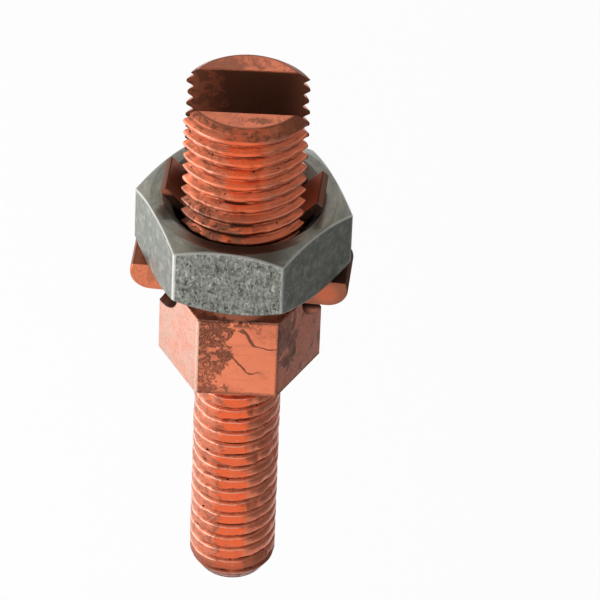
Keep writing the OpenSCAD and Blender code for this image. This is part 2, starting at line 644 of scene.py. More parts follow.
class Graph:
    """The node tree of one material or of the world."""

    def __init__(self, tree: bpy.types.NodeTree) -> None:
        """Empties the tree, ready for new nodes."""
        self.tree = tree
        self.tree.nodes.clear()

    @classmethod
    def for_material(cls, name: str) -> "tuple[bpy.types.Material, Graph]":
        """Makes a new material.

        Args:
            name: Name of the material.

        Returns:
            The material and its empty graph.
        """
        material = bpy.data.materials.new(name)
        material.use_nodes = True
        return material, cls(material.node_tree)

    def node(self, kind: str, settings: dict[str, Any] | None = None,
             inputs: dict[str, Any] | None = None) -> bpy.types.Node:
        """Adds one node.

        Args:
            kind: Blender's name of the node's type.
            settings: Properties of the node, which are set first.
            inputs: Numbers, colours or links, by socket identifier or name.

        Returns:
            The new node.
        """
        made = self.tree.nodes.new(kind)
        for name, setting in (settings or {}).items():
            setattr(made, name, setting)
        for name, given in (inputs or {}).items():
            self.feed(self.find(made.inputs, name), given)
        return made

    @staticmethod
    def find(sockets: Any, name: str) -> bpy.types.NodeSocket:
        """Finds a socket by its identifier, or else by its name.

        Args:
            sockets: Inputs or outputs of a node.
            name: The identifier or the name.

        Returns:
            The socket.
        """
        for socket in sockets:
            if socket.identifier == name:
                return socket
        return sockets[name]

    def feed(self, socket: bpy.types.NodeSocket, given: Any) -> None:
        """Links or sets one input socket.

        Args:
            socket: The input.
            given: A value, a socket, a number or a tuple of numbers.
        """
        if isinstance(given, Value):
            self.tree.links.new(given.socket, socket)
        elif isinstance(given, bpy.types.NodeSocket):
            self.tree.links.new(given, socket)
        elif isinstance(given, tuple) and socket.type == "RGBA":
            socket.default_value = (*given[:3], 1.0)
        else:
            socket.default_value = given

    def maths(self, operation: str, *values: "Value | float") -> Value:
        """Adds one Math node.

        Args:
            operation: Blender's name of the operation.
            values: Its inputs in order.

        Returns:
            The result.
        """
        made = self.node("ShaderNodeMath", {"operation": operation})
        for socket, given in zip(made.inputs, values):
            self.feed(socket, given)
        return Value(self, made.outputs[0])

    def stretch(self, vector: bpy.types.NodeSocket, by: Point) -> bpy.types.NodeSocket:
        """Multiplies a vector by three numbers.

        Args:
            vector: The vector.
            by: One number for each of its parts.

        Returns:
            The stretched vector.
        """
        made = self.node("ShaderNodeVectorMath", {"operation": "MULTIPLY"})
        self.feed(made.inputs[0], vector)
        self.feed(made.inputs[1], by)
        return made.outputs[0]

    def vector(self, x: Value | float, y: Value | float, z: Value | float) -> bpy.types.NodeSocket:
        """Joins three values to one vector."""
        made = self.node("ShaderNodeCombineXYZ", inputs={"X": x, "Y": y, "Z": z})
        return made.outputs["Vector"]

    def place(self) -> tuple[bpy.types.NodeSocket, Value, Value, Value]:
        """Gives the point on the object.

        Returns:
            The point as a vector, then its X, Y and Z, in millimetres.
        """
        coordinates = self.node("ShaderNodeTexCoord")
        point = self.stretch(coordinates.outputs["Object"], (PER_METRE, PER_METRE, PER_METRE))
        parts = self.node("ShaderNodeSeparateXYZ", inputs={"Vector": point})
        return (point, *(Value(self, parts.outputs[axis]) for axis in "XYZ"))

    def attribute(self, name: str) -> Value:
        """Reads a value that the mesh holds at each point."""
        return Value(self, self.node("ShaderNodeAttribute", {"attribute_name": name}).outputs["Fac"])

    @staticmethod
    def length(one: Value, other: Value) -> Value:
        """Gives the length of a vector from its two parts."""
        return (one * one + other * other) ** 0.5

    def grain(self, vector: bpy.types.NodeSocket, size: float, detail: float = 3.0,
              roughness: float = 0.55, distortion: float = 0.0) -> Value:
        """Adds a noise texture.

        Args:
            vector: Point that it is read at, in millimetres.
            size: Size of its largest marks in millimetres.
            detail: Number of finer layers.
            roughness: Strength of the finer layers.
            distortion: How far the pattern is stirred.

        Returns:
            Noise from 0 to 1.
        """
        made = self.node(
            "ShaderNodeTexNoise",
            {"noise_dimensions": "3D"},
            {"Vector": vector, "Scale": 1.0 / size, "Detail": detail,
             "Roughness": roughness, "Distortion": distortion},
        )
        return Value(self, self.find(made.outputs, "Fac"))

    def blend(self, first: Any, second: Any, share: "Value | float") -> bpy.types.NodeSocket:
        """Mixes two colours.

        Args:
            first: Colour at share 0.
            second: Colour at share 1.
            share: Value from 0 to 1.

        Returns:
            The mixed colour.
        """
        made = self.node(
            "ShaderNodeMix",
            {"data_type": "RGBA", "clamp_factor": True},
            {"Factor_Float": share, "A_Color": first, "B_Color": second},
        )
        return self.find(made.outputs, "Result_Color")

    def bump(self, height: Value, depth: float) -> bpy.types.NodeSocket:
        """Turns a height into a bumped normal.

        Args:
            height: Height of the relief.
            depth: Millimetres that a height of 1 stands for.

        Returns:
            The normal.
        """
        made = self.node(
            "ShaderNodeBump",
            inputs={"Strength": 1.0, "Distance": depth * MM, "Height": height},
        )
        return made.outputs["Normal"]

    def surface(self, inputs: dict[str, Any]) -> None:
        """Ends a material in one surface with the given inputs."""
        made = self.node("ShaderNodeBsdfPrincipled", inputs=inputs)
        self.node("ShaderNodeOutputMaterial", inputs={"Surface": made.outputs["BSDF"]})


@dataclass(frozen=True)
class Spot:
    """The point being shaded, with the noises that stain it.

    Attributes:
        graph: Graph of the material.
        point: The point as a vector in millimetres.
        x: Place along the slot.
        y: Place across the slot.
        z: Height.
        radius: Distance from the axis.
        angle: Angle from +X in radians.
        cloud: Broad noise.
        blotch: Noise about as large as a thread's pitch.
        fine: Fine noise.
        lap: Streaks that run round the axis.
    """

    graph: Graph
    point: bpy.types.NodeSocket
    x: Value
    y: Value
    z: Value
    radius: Value
    angle: Value
    cloud: Value
    blotch: Value
    fine: Value
    lap: Value

    @classmethod
    def read(cls, graph: Graph) -> "Spot":
        """Adds the nodes that describe the point to a graph.

        Args:
            graph: Graph of the material.

        Returns:
            The point and its noises.
        """
        point, x, y, z = graph.place()
        radius = graph.length(x, y)
        angle = graph.maths("ARCTAN2", y, x)
        return cls(
            graph, point, x, y, z, radius, angle,
            cloud=graph.grain(point, 5.0, 4.0),
            blotch=graph.grain(point, 1.5, 3.0, 0.5, 0.5),
            fine=graph.grain(point, 0.32, 3.0, 0.6),
            lap=graph.grain(graph.vector(angle * 0.9, radius, z), 0.28, 3.0, 0.6),
        )


class Layers:
    """How far each patina covers the copper, gathered mark by mark."""

    def __init__(self) -> None:
        """Starts with clean, even copper."""
        self.covers: dict[Tone, Value] = {}
        self.relief: Value | None = None

    def add(self, tone: Tone, *marks: Value, within: Value | None = None) -> None:
        """Adds marks of one patina; where they overlap, the strongest shows.

        Args:
            tone: The patina.
            marks: Covers from 0 to 1.
            within: Region that they keep to.
        """
        for mark in marks:
            kept = mark if within is None else mark * within
            held = self.covers.get(tone)
            self.covers[tone] = kept if held is None else held.most(kept)

    def swell(self, height: Value) -> None:
        """Adds a height from 0 to 1 to the surface's relief."""
        self.relief = height if self.relief is None else self.relief + height


@dataclass(frozen=True)
class Patina:
    """One state of a metal's surface.

    Attributes:
        colour: Colour of its reflection.
        roughness: Its roughness.
        skin: Weight of the clear skin on it.
    """

    colour: Colour
    roughness: float
    skin: float


@dataclass(frozen=True)
class CopperFinish:
    """Bare copper that has been handled, heated and stored.

    Attributes:
        name: Name of the material.
        clean: Smooth clean metal.
        tones: The patinas that can cover it.
        skin_rough: Roughness of the clear skin.
        grain_mm: Size of the grain.
        grain_depth: Depth of the grain.
        grain_stain: How far the grain's high spots are browned.
        grain_rough: How far the grain varies the roughness.
        relief_depth: Height of the crusts and scars.
    """

    name: str
    clean: Patina = Patina((0.90, 0.24, 0.11), 0.33, 0.6)
    tones: dict[Tone, Patina] = field(default_factory=lambda: {
        Tone.DEEP: Patina((0.88, 0.138, 0.043), 0.26, 0.1),
        Tone.DULL: Patina((0.55, 0.155, 0.08), 0.36, 0.2),
        Tone.PALE: Patina((0.76, 0.41, 0.31), 0.34, 0.4),
        Tone.BROWN: Patina((0.27, 0.092, 0.050), 0.46, 0.2),
        Tone.MAROON: Patina((0.26, 0.056, 0.028), 0.65, 0.0),
        Tone.SOOT: Patina((0.032, 0.018, 0.012), 0.75, 0.0),
        Tone.BRIGHT: Patina((0.96, 0.72, 0.60), 0.3, 0.4),
    })
    skin_rough: float = 0.35
    grain_mm: float = 0.22
    grain_depth: float = 0.010
    grain_stain: float = 0.4
    grain_rough: float = 0.12
    relief_depth: float = 0.10

    def lay(self, graph: Graph, layers: Layers) -> None:
        """Ends a material in clean metal with its patinas over it.

        Args:
            graph: Graph of the material.
            layers: How far each patina covers it.
        """
        point, _, _, _ = graph.place()
        grain = graph.grain(point, self.grain_mm, 3.0)
        colour: Any = self.clean.colour
        rough: Value | float = self.clean.roughness
        skin: Value | float = self.clean.skin
        for tone in Tone:
            if tone in layers.covers:
                patina = self.tones[tone]
                cover = layers.covers[tone]
                colour = graph.blend(colour, patina.colour, cover)
                rough = cover.pick(rough, patina.roughness)
                skin = cover.pick(skin, patina.skin)
        height = grain * self.grain_depth
        if layers.relief is not None:
            height = height + layers.relief * self.relief_depth
        stain = grain.fade(0.55, 0.8) * self.grain_stain
        graph.surface({
            "Base Color": graph.blend(colour, self.tones[Tone.BROWN].colour, stain),
            "Roughness": rough + self.grain_rough * (grain - 0.5),
            "Metallic": 1.0,
            "Coat Weight": skin,
            "Coat Roughness": self.skin_rough,
            "Normal": graph.bump(height, 1.0),
        })


@dataclass(frozen=True)
class PlatingFinish:
    """Matt grey plating, pitted on the flats and bright at worn edges, with a painted highlight on the lit
    corners.

    Attributes:
        name: Name of the material.
        grey: Colour of the plating on the sawn flats.
        smooth: Colour of the plating on the other faces.
        pale: Colour where it is rubbed, and of the painted highlight on the upright corners.
        fleck: Colour of light flecks.
        dark: Colour of pits.
        olive: Colour of the yellow film on the end faces.
        stain: Colour of the brown film on the end faces.
        grime_and_shade: Colour of the dirt in the pits, and of the painted shade in the bore and in the
            countersink.
        flat_rough: Roughness of the flats.
        turned_rough: Roughness of the turned faces.
        metallic: Share of metal reflection.
        pit_depth: Depth of the pits.
        smear_at: Centre of the brown smear on the top.
    """

    name: str
    grey: Colour = (0.215, 0.218, 0.178)
    smooth: Colour = (0.225, 0.237, 0.212)
    pale: Colour = (0.66, 0.66, 0.62)
    fleck: Colour = (0.38, 0.39, 0.35)
    dark: Colour = (0.095, 0.097, 0.080)
    olive: Colour = (0.30, 0.275, 0.215)
    stain: Colour = (0.064, 0.046, 0.032)
    grime_and_shade: Colour = (0.030, 0.024, 0.018)
    flat_rough: float = 0.46
    turned_rough: float = 0.34
    metallic: float = 0.9
    pit_depth: float = 0.06
    smear_at: Pair = (-6.4, -3.0)

    def build(self, bore_r: float, flat_r: float, turn: float) -> bpy.types.Material:
        """Makes the material.

        Args:
            bore_r: Radius of the bore.
            flat_r: Distance from the axis to a flat.
            turn: How far the nut stands turned, in degrees.

        Returns:
            The material.
        """
        material, graph = Graph.for_material(self.name)
        point, x, y, _ = graph.place()
        radius = graph.length(x, y)
        angle = graph.maths("ARCTAN2", y, x)
        wear = graph.attribute("wear")
        flat = graph.attribute("flat")
        end_face = 1 - flat
        lean = math.radians(turn)
        forward = math.cos(lean) * y - math.sin(lean) * x
        sawn = abs(forward).fade(flat_r - 0.2, flat_r - 0.05) * flat
        smooth = 1 - sawn
        drawn = graph.stretch(point, (1.0, 1.0, 0.6))
        pitting = graph.grain(drawn, 0.25, 3.0, 0.75, 0.2)
        pit = graph.grain(drawn, 0.42, 2.0, 0.5, 0.6)
        cloud = graph.grain(point, 2.2, 4.0)
        mottle = graph.grain(point, 0.9, 4.0, 0.6, 0.4)
        blot = graph.grain(point, 0.55, 3.0, 0.6, 0.6)
        swirl = graph.grain(graph.vector(angle * 2.4, radius * 1.5, 0.0), 0.7, 4.0, 0.6, 0.6)
        # bore is painted shade inside the bore.
        bore = radius.fade(bore_r + 0.35, bore_r - 0.05)
        sink = radius.fade(bore_r + 1.1, bore_r + 0.9) * radius.fade(bore_r - 0.05, bore_r + 0.3) * end_face
        pits = pit.fade(0.60, 0.68) * sawn
        front = forward.fade(-4.5, -6.8) * abs(x + 0.3).fade(5.6, 2.6)
        aside, ahead = x - self.smear_at[0], y - self.smear_at[1]
        smear = aside.squared() + ahead.squared() + 5.0 * (mottle - 0.5)
        brown = front.most(mottle.fade(0.54, 0.68) * 0.2).most(smear.fade(2.4, 0.4) * 0.85)
        # A painted shadow of the prong and legs in the countersink, on the right front.
        countersink_shadow = abs(angle + 0.5 + 0.2 * (mottle - 0.5)).fade(0.30, 0.20)
        countersink_shadow = countersink_shadow * radius.fade(bore_r + 1.0, bore_r + 0.85)
        speckle = (pitting + 0.25 * (cloud - 0.5)).fade(0.30, 0.70)
        films = (
            (self.grey, sawn),
            (graph.blend(self.dark, self.fleck, speckle), 0.2 + 0.12 * flat + 0.6 * sawn),
            (self.grime_and_shade, pits * 0.7),
            (self.pale, pit.fade(0.38, 0.30) * sawn * 0.5),
            (self.dark, mottle.fade(0.48, 0.66) * smooth * (0.10 + 0.22 * flat)),
            (self.pale, mottle.fade(0.50, 0.34) * smooth * (0.08 + 0.13 * flat)),
            (self.dark, blot.fade(0.5, 0.66) * smooth * 0.16),
            (self.olive, end_face * (0.25 + 0.5 * cloud.fade(0.35, 0.6))),
            (self.pale, swirl.fade(0.54, 0.70) * end_face * 0.2),
            (self.dark, swirl.fade(0.46, 0.32) * end_face * 0.28),
            (self.stain, brown * end_face * 0.85),
            (self.grime_and_shade, bore.most(countersink_shadow) * 0.9),
            # The pale along the edges is wear, with a painted highlight on the upright corners.
            (self.pale, wear * cloud.fade(0.1, 0.35)),
        )
        colour: Any = self.smooth
        for film, cover in films:
            colour = graph.blend(colour, film, cover)
        rough = flat.pick(self.turned_rough, self.flat_rough)
        height = (pitting - 0.6 * pits) * (0.15 * flat + 0.85 * sawn)
        graph.surface({
            "Base Color": colour,
            "Roughness": rough + 0.1 * (blot - 0.5) * end_face + 0.25 * sink,
            "Metallic": self.metallic - 0.6 * sink,
            "Normal": graph.bump(height, self.pit_depth),
        })
        return material


@dataclass(frozen=True)
class PostRegions:
    """Masks, which are 1 inside a region and 0 elsewhere, and places on the post.

    Attributes:
        wall: Walls and bottom of the slot.
        flat_top: Flat tops of the legs.
        collar: The collar.
        stud: The stud.
        leg: The legs.
        threaded: What carries a thread, or stands next to one.
        chamfer: Chamfers at the legs' tops.
        neck: Neck below the legs' thread, with the collar's top face.
        plain: Threads away from the chamfers and the neck.
        tip: Last turns of the stud.
        groove: Depth in the thread, 0 at the crests and 1 at the roots.
        ride: Place over the thread, 0 at a crest and negative below it, in pitches.
        across: Place along X as a share of the thread's radius.
        steady: The same place, a little stirred.
        drift: The same place, shifted turn by turn.
        each_turn: Noise that differs from turn to turn.
        strip: Red band down the front of the threads, a painted reflection.
    """

    wall: Value
    flat_top: Value
    collar: Value
    stud: Value
    leg: Value
    threaded: Value
    chamfer: Value
    neck: Value
    plain: Value
    tip: Value
    groove: Value
    ride: Value
    across: Value
    steady: Value
    drift: Value
    each_turn: Value
    strip: Value


@dataclass(frozen=True)
class PostStains:
    """The marks on the post's copper, and the noises that they share.

    Attributes:
        post: The post.
        spot: The point being shaded.
        where: Regions of the post.
        layers: Where the marks go.
        smudge: Ragged noise of handled metal.
        worm: Winding noise of the collar's crust.
        wander: Slow noise of the collar's lines.
        vein: Distance from thin lines on the legs' tops and in the slot.
        crust_x: Where the crust on the collar's front ends, on average.
        gap_z: Height of the clean gap in the crust.
        upper_z: Height of the upper line on the collar's front.
        lower_z: Height of the lower line there.
        spread_at: Centre of the stain on the front leg's top.
    """

    post: "Post"
    spot: Spot
    where: PostRegions
    layers: Layers
    smudge: Value
    worm: Value
    wander: Value
    vein: Value
    crust_x: float = -0.75
    gap_z: float = 5.4
    upper_z: float = 5.65
    lower_z: float = 2.75
    spread_at: Pair = (1.2, -4.1)

    @classmethod
    def start(cls, post: "Post", graph: Graph) -> "PostStains":
        """Adds what the marks share to a graph.

        Args:
            post: The post.
            graph: Graph of its material.

        Returns:
            The stains, with no mark yet.
        """
        spot = Spot.read(graph)
        return cls(
            post, spot, post.regions(spot), Layers(),
            smudge=graph.grain(spot.point, 0.8, 3.0, 0.6, 0.8),
            worm=graph.grain(spot.point, 0.72, 2.0, 0.5, 0.8),
            wander=graph.grain(spot.point, 1.1, 3.0, 0.6),
            vein=abs(graph.grain(spot.point, 1.6, 3.0, 0.6) - 0.5),
        )

    def gather(self) -> Layers:
        """Adds all the marks.

        Returns:
            The layers that hold them.
        """
        for mark in (self.threads, self.ends, self.front, self.right, self.collar, self.tops, self.walls):
            mark()
        return self.layers

    def threads(self) -> None:
        """Stains the threads: a red band down the front, a painted reflection; dust and painted shade to its
        right; rubbed crests with painted glints on the lit side.
        """
        spot, where, layers, smudge = self.spot, self.where, self.layers, self.smudge
        graph, lap = spot.graph, spot.lap
        stud, threaded, plain, strip = where.stud, where.threaded, where.plain, where.strip
        steady, drift, groove = where.steady, where.drift, where.groove
        speck = graph.grain(spot.point, 0.5, 2.0)
        scratch = graph.grain(graph.vector(spot.angle * 1.4, spot.radius, spot.z * 2.2), 0.3, 3.0, 0.6)
        dash = graph.grain(graph.vector(spot.angle * 0.7, 3.0, spot.z), 0.8, 1.0).fade(0.56, 0.63)
        # Right of the red band the threads are painted duller: partly dust, partly painted shade on the side
        # away from the lamp.
        dusty_and_shaded = steady.fade(0.20, 0.44)
        border = drift.fade(-0.65, -0.45) * drift.fade(-0.24, -0.34)
        lit_side = drift.fade(-0.30, -0.55)
        halo = drift.fade(-0.75, -0.40) * steady.fade(0.5, 0.3) * stud
        crest = groove.fade(0.16, 0.02) * threaded
        root = groove.fade(0.70, 0.90) * threaded
        flank = groove.fade(0.30, 0.55) * threaded * stud
        flat = stud.pick(self.post.leg_thread().flat_share, self.post.stud_thread().flat_share)
        lip = abs(where.ride - 0.5 * flat - 0.03).fade(0.05, 0.02) * threaded
        # DEEP on the red band paints a reflection; elsewhere it is red metal in the threads.
        layers.add(Tone.DEEP, threaded * (0.3 + 0.7 * strip), halo * 0.65)
        layers.add(
            Tone.DULL,
            threaded * dusty_and_shaded * (0.16 + 0.42 * stud),
            flank * 0.5,
            spot.cloud.fade(0.45, 0.7) * (0.2 + 0.4 * threaded),
            lit_side * threaded * (0.15 + 0.25 * stud),
            spot.z.fade(-3.5, -0.5) * stud * 0.55,
            plain * scratch.fade(0.46, 0.60) * (0.6 - 0.5 * strip),
            strip * where.each_turn.fade(0.46, 0.34) * 0.35,
        )
        # The pale crest lines are partly rubbed metal and partly painted highlight, fading towards the shaded
        # right.
        layers.add(
            Tone.PALE,
            crest * lap.fade(0.48, 0.62) * (0.5 - 0.4 * strip) * (1 - 0.6 * stud),
            lip * stud * (0.55 - 0.48 * dusty_and_shaded),
            plain * scratch.fade(0.40, 0.34) * 0.35 * (1 - strip),
        )
        layers.add(
            Tone.BROWN,
            root * (0.3 + 0.3 * stud),
            flank * smudge.fade(0.40, 0.56) * 0.6,
            border * threaded * smudge.fade(0.42, 0.6) * 0.7,
            lit_side * plain * smudge.fade(0.48, 0.62) * 0.55,
            threaded * lap.fade(0.56, 0.66) * (0.6 - 0.35 * strip),
            plain * scratch.fade(0.57, 0.66) * 0.4,
        )
        layers.add(
            Tone.SOOT,
            speck.fade(0.66, 0.71) * groove.fade(0.3, 0.6),
            root * lap.fade(0.46, 0.58) * 0.55,
            root * dash * strip * 0.9,
            within=plain,
        )
        # BRIGHT here paints glints on the crests' edges, strongest on the lit left side.
        layers.add(
            Tone.BRIGHT,
            lip * (0.1 + 0.9 * lit_side) * lap.fade(0.36, 0.50) * (0.2 + 0.1 * stud),
            crest * scratch.fade(0.62, 0.68) * 0.35 * drift.fade(0.5, 0.1),
            within=plain,
        )

    def ends(self) -> None:
        """Stains the threads' ends: chamfers, neck, the turns over the nut, the stud's tip, with a painted
        highlight line near its end and painted shade on its end chamfer.
        """
        spot, where, layers, smudge = self.spot, self.where, self.layers, self.smudge
        z, across, drift = spot.z, where.across, where.drift
        chamfer, tip = where.chamfer, where.tip
        end = self.post.sizes.stud_end
        collar_top = self.post.sizes.collar_top
        nut_high = self.post.sizes.nut_high
        ledge = where.neck * z.fade(collar_top + 0.2, collar_top + 0.05)
        near_nut = where.leg * z.fade(nut_high + 4.3, nut_high + 1.3) * drift.fade(0.6, 0.0)
        # rim is a painted highlight line on the stud's last crest.
        rim = z.fade(end + 0.28, end + 0.36) * z.fade(end + 0.62, end + 0.5)
        layers.add(Tone.DEEP, tip * where.threaded * 0.9)
        layers.add(Tone.DULL, tip * 0.35)
        layers.add(Tone.PALE, ledge * 0.9)
        layers.add(
            Tone.BROWN,
            chamfer * (0.50 + 0.32 * smudge.fade(0.40, 0.58)),
            chamfer * across.fade(0.1, 0.6) * 0.8,
            where.neck * 0.9 - ledge * 0.65,
            tip * (0.75 - 0.4 * where.strip),
            near_nut * spot.blotch.fade(0.30, 0.50) * 0.9,
        )
        layers.add(Tone.MAROON, tip * where.threaded * 0.25)
        layers.add(
            Tone.SOOT,
            chamfer * smudge.fade(0.50, 0.62) * 0.4,
            chamfer * across.fade(0.35, 0.75) * 0.4,
            ledge * (0.25 + 0.25 * smudge.fade(0.45, 0.6)),
            near_nut * smudge.fade(0.52, 0.62) * drift.fade(0.2, -0.2) * 0.7,
            # Soot at the stud's very end is painted shade on its chamfer.
            z.fade(end + 0.30, end + 0.18) * 0.8,
        )
        layers.add(Tone.BRIGHT, rim * spot.fine.fade(0.35, 0.5) * 0.3)

    def face(self, face: CollarFace) -> Value:
        """Finds one flat of the collar.

        Args:
            face: The flat.

        Returns:
            1 on that flat, 0 elsewhere.
        """
        spot, sizes = self.spot, self.post.sizes
        turn = math.radians(face.value)
        out = math.cos(turn) * spot.x + math.sin(turn) * spot.y
        band = spot.z.fade(-0.05, 0.05) * spot.z.fade(sizes.collar_top + 0.05, sizes.collar_top - 0.05)
        return out.fade(sizes.collar_flat - 0.15, sizes.collar_flat - 0.05) * band

    def worn_edge(self) -> Value:
        """Finds the collar's upright edges on the lit side, where a highlight is painted.

        Returns:
            1 on those edges, 0 elsewhere.
        """
        corner = self.post.sizes.collar_corner
        upright = self.spot.radius.fade(corner - 0.11, corner - 0.05)
        return upright * self.where.collar * self.spot.x.fade(1.0, -1.0)

    def crust(self) -> Value:
        """Draws the ragged crust on the left of the collar's front.

        Returns:
            1 on the crust, 0 elsewhere.
        """
        z, worm = self.spot.z, self.worm
        lobes = self.spot.graph.maths("COSINE", (z - 7.4) * 1.9)
        stir = 2.6 * (self.spot.blotch - 0.5) + 2.1 * (worm - 0.5)
        end = 0.40 * lobes + self.crust_x - 1.4 * z.fade(3.4, 1.3) + stir
        gap = abs(z - self.gap_z + 0.8 * (self.wander - 0.5)).fade(0.30, 0.12) * worm.fade(0.54, 0.47)
        return (end - self.spot.x).fade(-0.14, 0.14) * (1 - 0.8 * gap)

    def tide_lines(self) -> tuple[Value, Value]:
        """Draws the lines that dried on the collar's front.

        Returns:
            1 on the lines and 0 elsewhere, and the height over the upper line.
        """
        x, z, worm = self.spot.x, self.spot.z, self.worm
        stir = 0.9 * (self.wander - 0.5)
        upper = z - self.upper_z - 0.35 * x.fade(3.0, 1.2) - 1.6 * x.fade(1.6, 0.4) - stir
        lower = z - self.lower_z - 2.2 * x.fade(1.3, -1.2) - stir - 0.4 * (worm - 0.5)
        width = 0.08 + 0.22 * abs(x - 0.8).fade(1.0, 0.3)
        upper_line = (abs(upper) / width).fade(1.3, 0.6) * x.fade(-0.2, 0.3)
        lower_line = (abs(lower) / 0.12).fade(1.3, 0.5) * x.fade(-1.2, -0.8) * x.fade(2.9, 0.9)
        top_spot = z.fade(7.7, 8.3) * x.fade(1.6, 0.9) * x.fade(-1.2, -0.8) * worm.fade(0.42, 0.54)
        return upper_line.most(lower_line).most(top_spot), upper

    def front(self) -> None:
        """Stains the collar's front: a crust on the left, tide lines and a dirty hem."""
        spot, layers, worm = self.spot, self.layers, self.worm
        x, z, fine = spot.x, spot.z, spot.fine
        front = self.face(CollarFace.FRONT)
        vein = abs(worm - 0.5)
        patch = self.crust() * front * (1 - self.worn_edge())
        lines, over_line = self.tide_lines()
        tide = lines * front
        hem = (z + 0.5 * (worm - 0.5)).fade(0.55, 0.25)
        hem = hem.most((x + 0.2 * (worm - 0.5)).fade(3.4, 3.55))
        foot = z.fade(1.3, 0.7) * x.fade(1.5, -1.0)
        brow = over_line.fade(0.1, 1.6) * x.fade(-0.2, 0.6)
        low_share = 1 - 0.4 * z.fade(4.4, 2.8)
        layers.add(Tone.DULL, brow * 0.5, foot * 0.5, spot.blotch.fade(0.5, 0.7) * 0.4, within=front)
        layers.add(
            Tone.BROWN,
            hem * 0.75,
            foot * worm.fade(0.50, 0.58) * 0.8,
            brow * vein.fade(0.04, 0.01) * 0.6,
            fine.fade(0.66, 0.74) * 0.35,
            within=front,
        )
        layers.add(Tone.BROWN, patch * (0.36 + 0.44 * worm.fade(0.36, 0.46)) * low_share, tide * 0.9)
        layers.add(
            Tone.SOOT,
            patch * vein.fade(0.05, 0.015) * 0.45,
            patch * fine.fade(0.52, 0.64) * 0.2,
            tide * 0.2,
        )
        layers.swell(patch * vein.fade(0.03, 0.10) + tide * 0.5)

    def right(self) -> None:
        """Stains the collar's right face with dust and shaded streaks."""
        spot, layers, z = self.spot, self.layers, self.spot.z
        right = self.face(CollarFace.RIGHT)
        streak = spot.graph.grain(spot.graph.stretch(spot.point, (1.0, 1.0, 0.5)), 1.1, 3.0, 0.6, 0.5)
        along = math.cos(HEX_STEP) * spot.x + math.sin(HEX_STEP) * spot.y
        past_front = along + self.post.sizes.collar_corner / 2
        window = past_front.fade(3.8, 2.6) * z.fade(2.2, 3.4)
        shade = (streak + 0.20 * window).fade(0.54, 0.68) * right
        soot = 0.36 + 0.2 * self.worm.fade(0.40, 0.6)
        layers.add(Tone.DEEP, right * 0.3)
        layers.add(Tone.DULL, right * (0.20 + 0.35 * streak.fade(0.35, 0.50)))
        layers.add(Tone.PALE, right * 0.25, shade * 0.7)
        layers.add(Tone.BROWN, z.fade(0.45, 0.25) * 0.85, spot.fine.fade(0.5, 0.62) * 0.3, within=right)
        layers.add(Tone.BROWN, shade * 0.3)
        layers.add(Tone.SOOT, shade * soot, right * z.fade(0.30, 0.15) * 0.5)
        layers.swell(shade * 0.5)

    def collar(self) -> None:
        """Stains the collar's other faces, paints its lit left face paler and paints a highlight on its lit
        upright edges.
        """
        spot, layers, wander = self.spot, self.layers, self.wander
        left = self.face(CollarFace.LEFT)
        edge = self.worn_edge()
        hidden = self.where.collar
        for face in CollarFace:
            hidden = hidden * (1 - self.face(face))
        tarnish = 0.4 * spot.blotch + 0.4 * spot.cloud + 0.2 * self.worm
        front_left_glint = spot.x.fade(-2.6, -3.2) * spot.y.fade(-3.0, -5.0) * wander.fade(0.30, 0.45)
        # The left face is paler partly as rubbed metal and partly as a painted sheen from the lamp; the pale
        # upright edges are a painted highlight.
        layers.add(Tone.PALE, left * (0.5 + 0.5 * spot.blotch.fade(0.35, 0.6)), edge * 0.9)
        layers.add(
            Tone.BROWN,
            spot.z.fade(0.25, 0.12) * 0.7,
            abs(wander - 0.5).fade(0.035, 0.01) * 0.25,
            spot.fine.fade(0.56, 0.70) * 0.25,
            within=left,
        )
        layers.add(Tone.BROWN, tarnish.fade(0.44, 0.58) * 0.6, within=hidden)
        # Painted highlight: a bright line on the lit edges, by the front-left corner.
        layers.add(Tone.BRIGHT, edge * front_left_glint * 0.5)

    def tops(self) -> None:
        """Browns the legs' flat tops and their rims."""
        spot, layers, vein, flat_top = self.spot, self.layers, self.vein, self.where.flat_top
        x, y = spot.x, spot.y
        top = self.post.sizes.post_top
        rim_r = self.post.leg_r - self.post.leg_chamfer[0]
        ragged = spot.graph.grain(spot.point, 0.6, 3.0, 0.6, 0.8) - 0.5
        line = abs(spot.radius - rim_r).fade(0.12, 0.04) * spot.z.fade(top - 0.2, top - 0.1)
        back = y.fade(-1.0, 1.0)
        smear = (spot.blotch - 0.05 * x * back).fade(0.44, 0.62) * (0.3 + 0.7 * back)
        aside, ahead = x - self.spread_at[0], y - self.spread_at[1]
        spread = (0.9 * aside).squared() + (2.2 * ahead).squared() + 6.0 * ragged
        layers.add(Tone.DULL, x.fade(2.0, -1.5) * (0.2 + 0.4 * back), within=flat_top)
        layers.add(
            Tone.BROWN,
            smear * 0.7,
            spread.fade(1.3, 0.5) * 0.8,
            spot.radius.fade(rim_r - 0.3, rim_r - 0.05) * 0.75,
            spot.fine.fade(0.58, 0.70) * 0.3,
            vein.fade(0.03, 0.01) * 0.55,
            within=flat_top,
        )
        layers.add(Tone.BROWN, line * 0.7)
        layers.add(Tone.SOOT, line * spot.lap.fade(0.35, 0.5) * 0.5)
        layers.swell(flat_top * vein.fade(0.01, 0.03) * 0.4)

    def walls(self) -> None:
        """Darkens the slot's walls with tarnish and painted shade, most of all at its bottom."""
        spot, layers, wall, x = self.spot, self.layers, self.where.wall, self.spot.x
        collar_top = self.post.sizes.collar_top
        low = spot.z.fade(collar_top + 1.0, collar_top - 0.2)
        dark = (x + 2.6 + 4.5 * (spot.blotch - 0.5)).fade(-0.5, 0.6)
        middle = abs(x + 0.3).fade(5.2, 3.4)
        bright_end = x.fade(5.0, 6.4) * low * spot.y.fade(0.4, -0.6)
        lines = (1 - dark) * self.vein.fade(0.08, 0.03)
        layers.add(Tone.BROWN, 0.95 - 0.40 * lines - 0.5 * bright_end, within=wall)
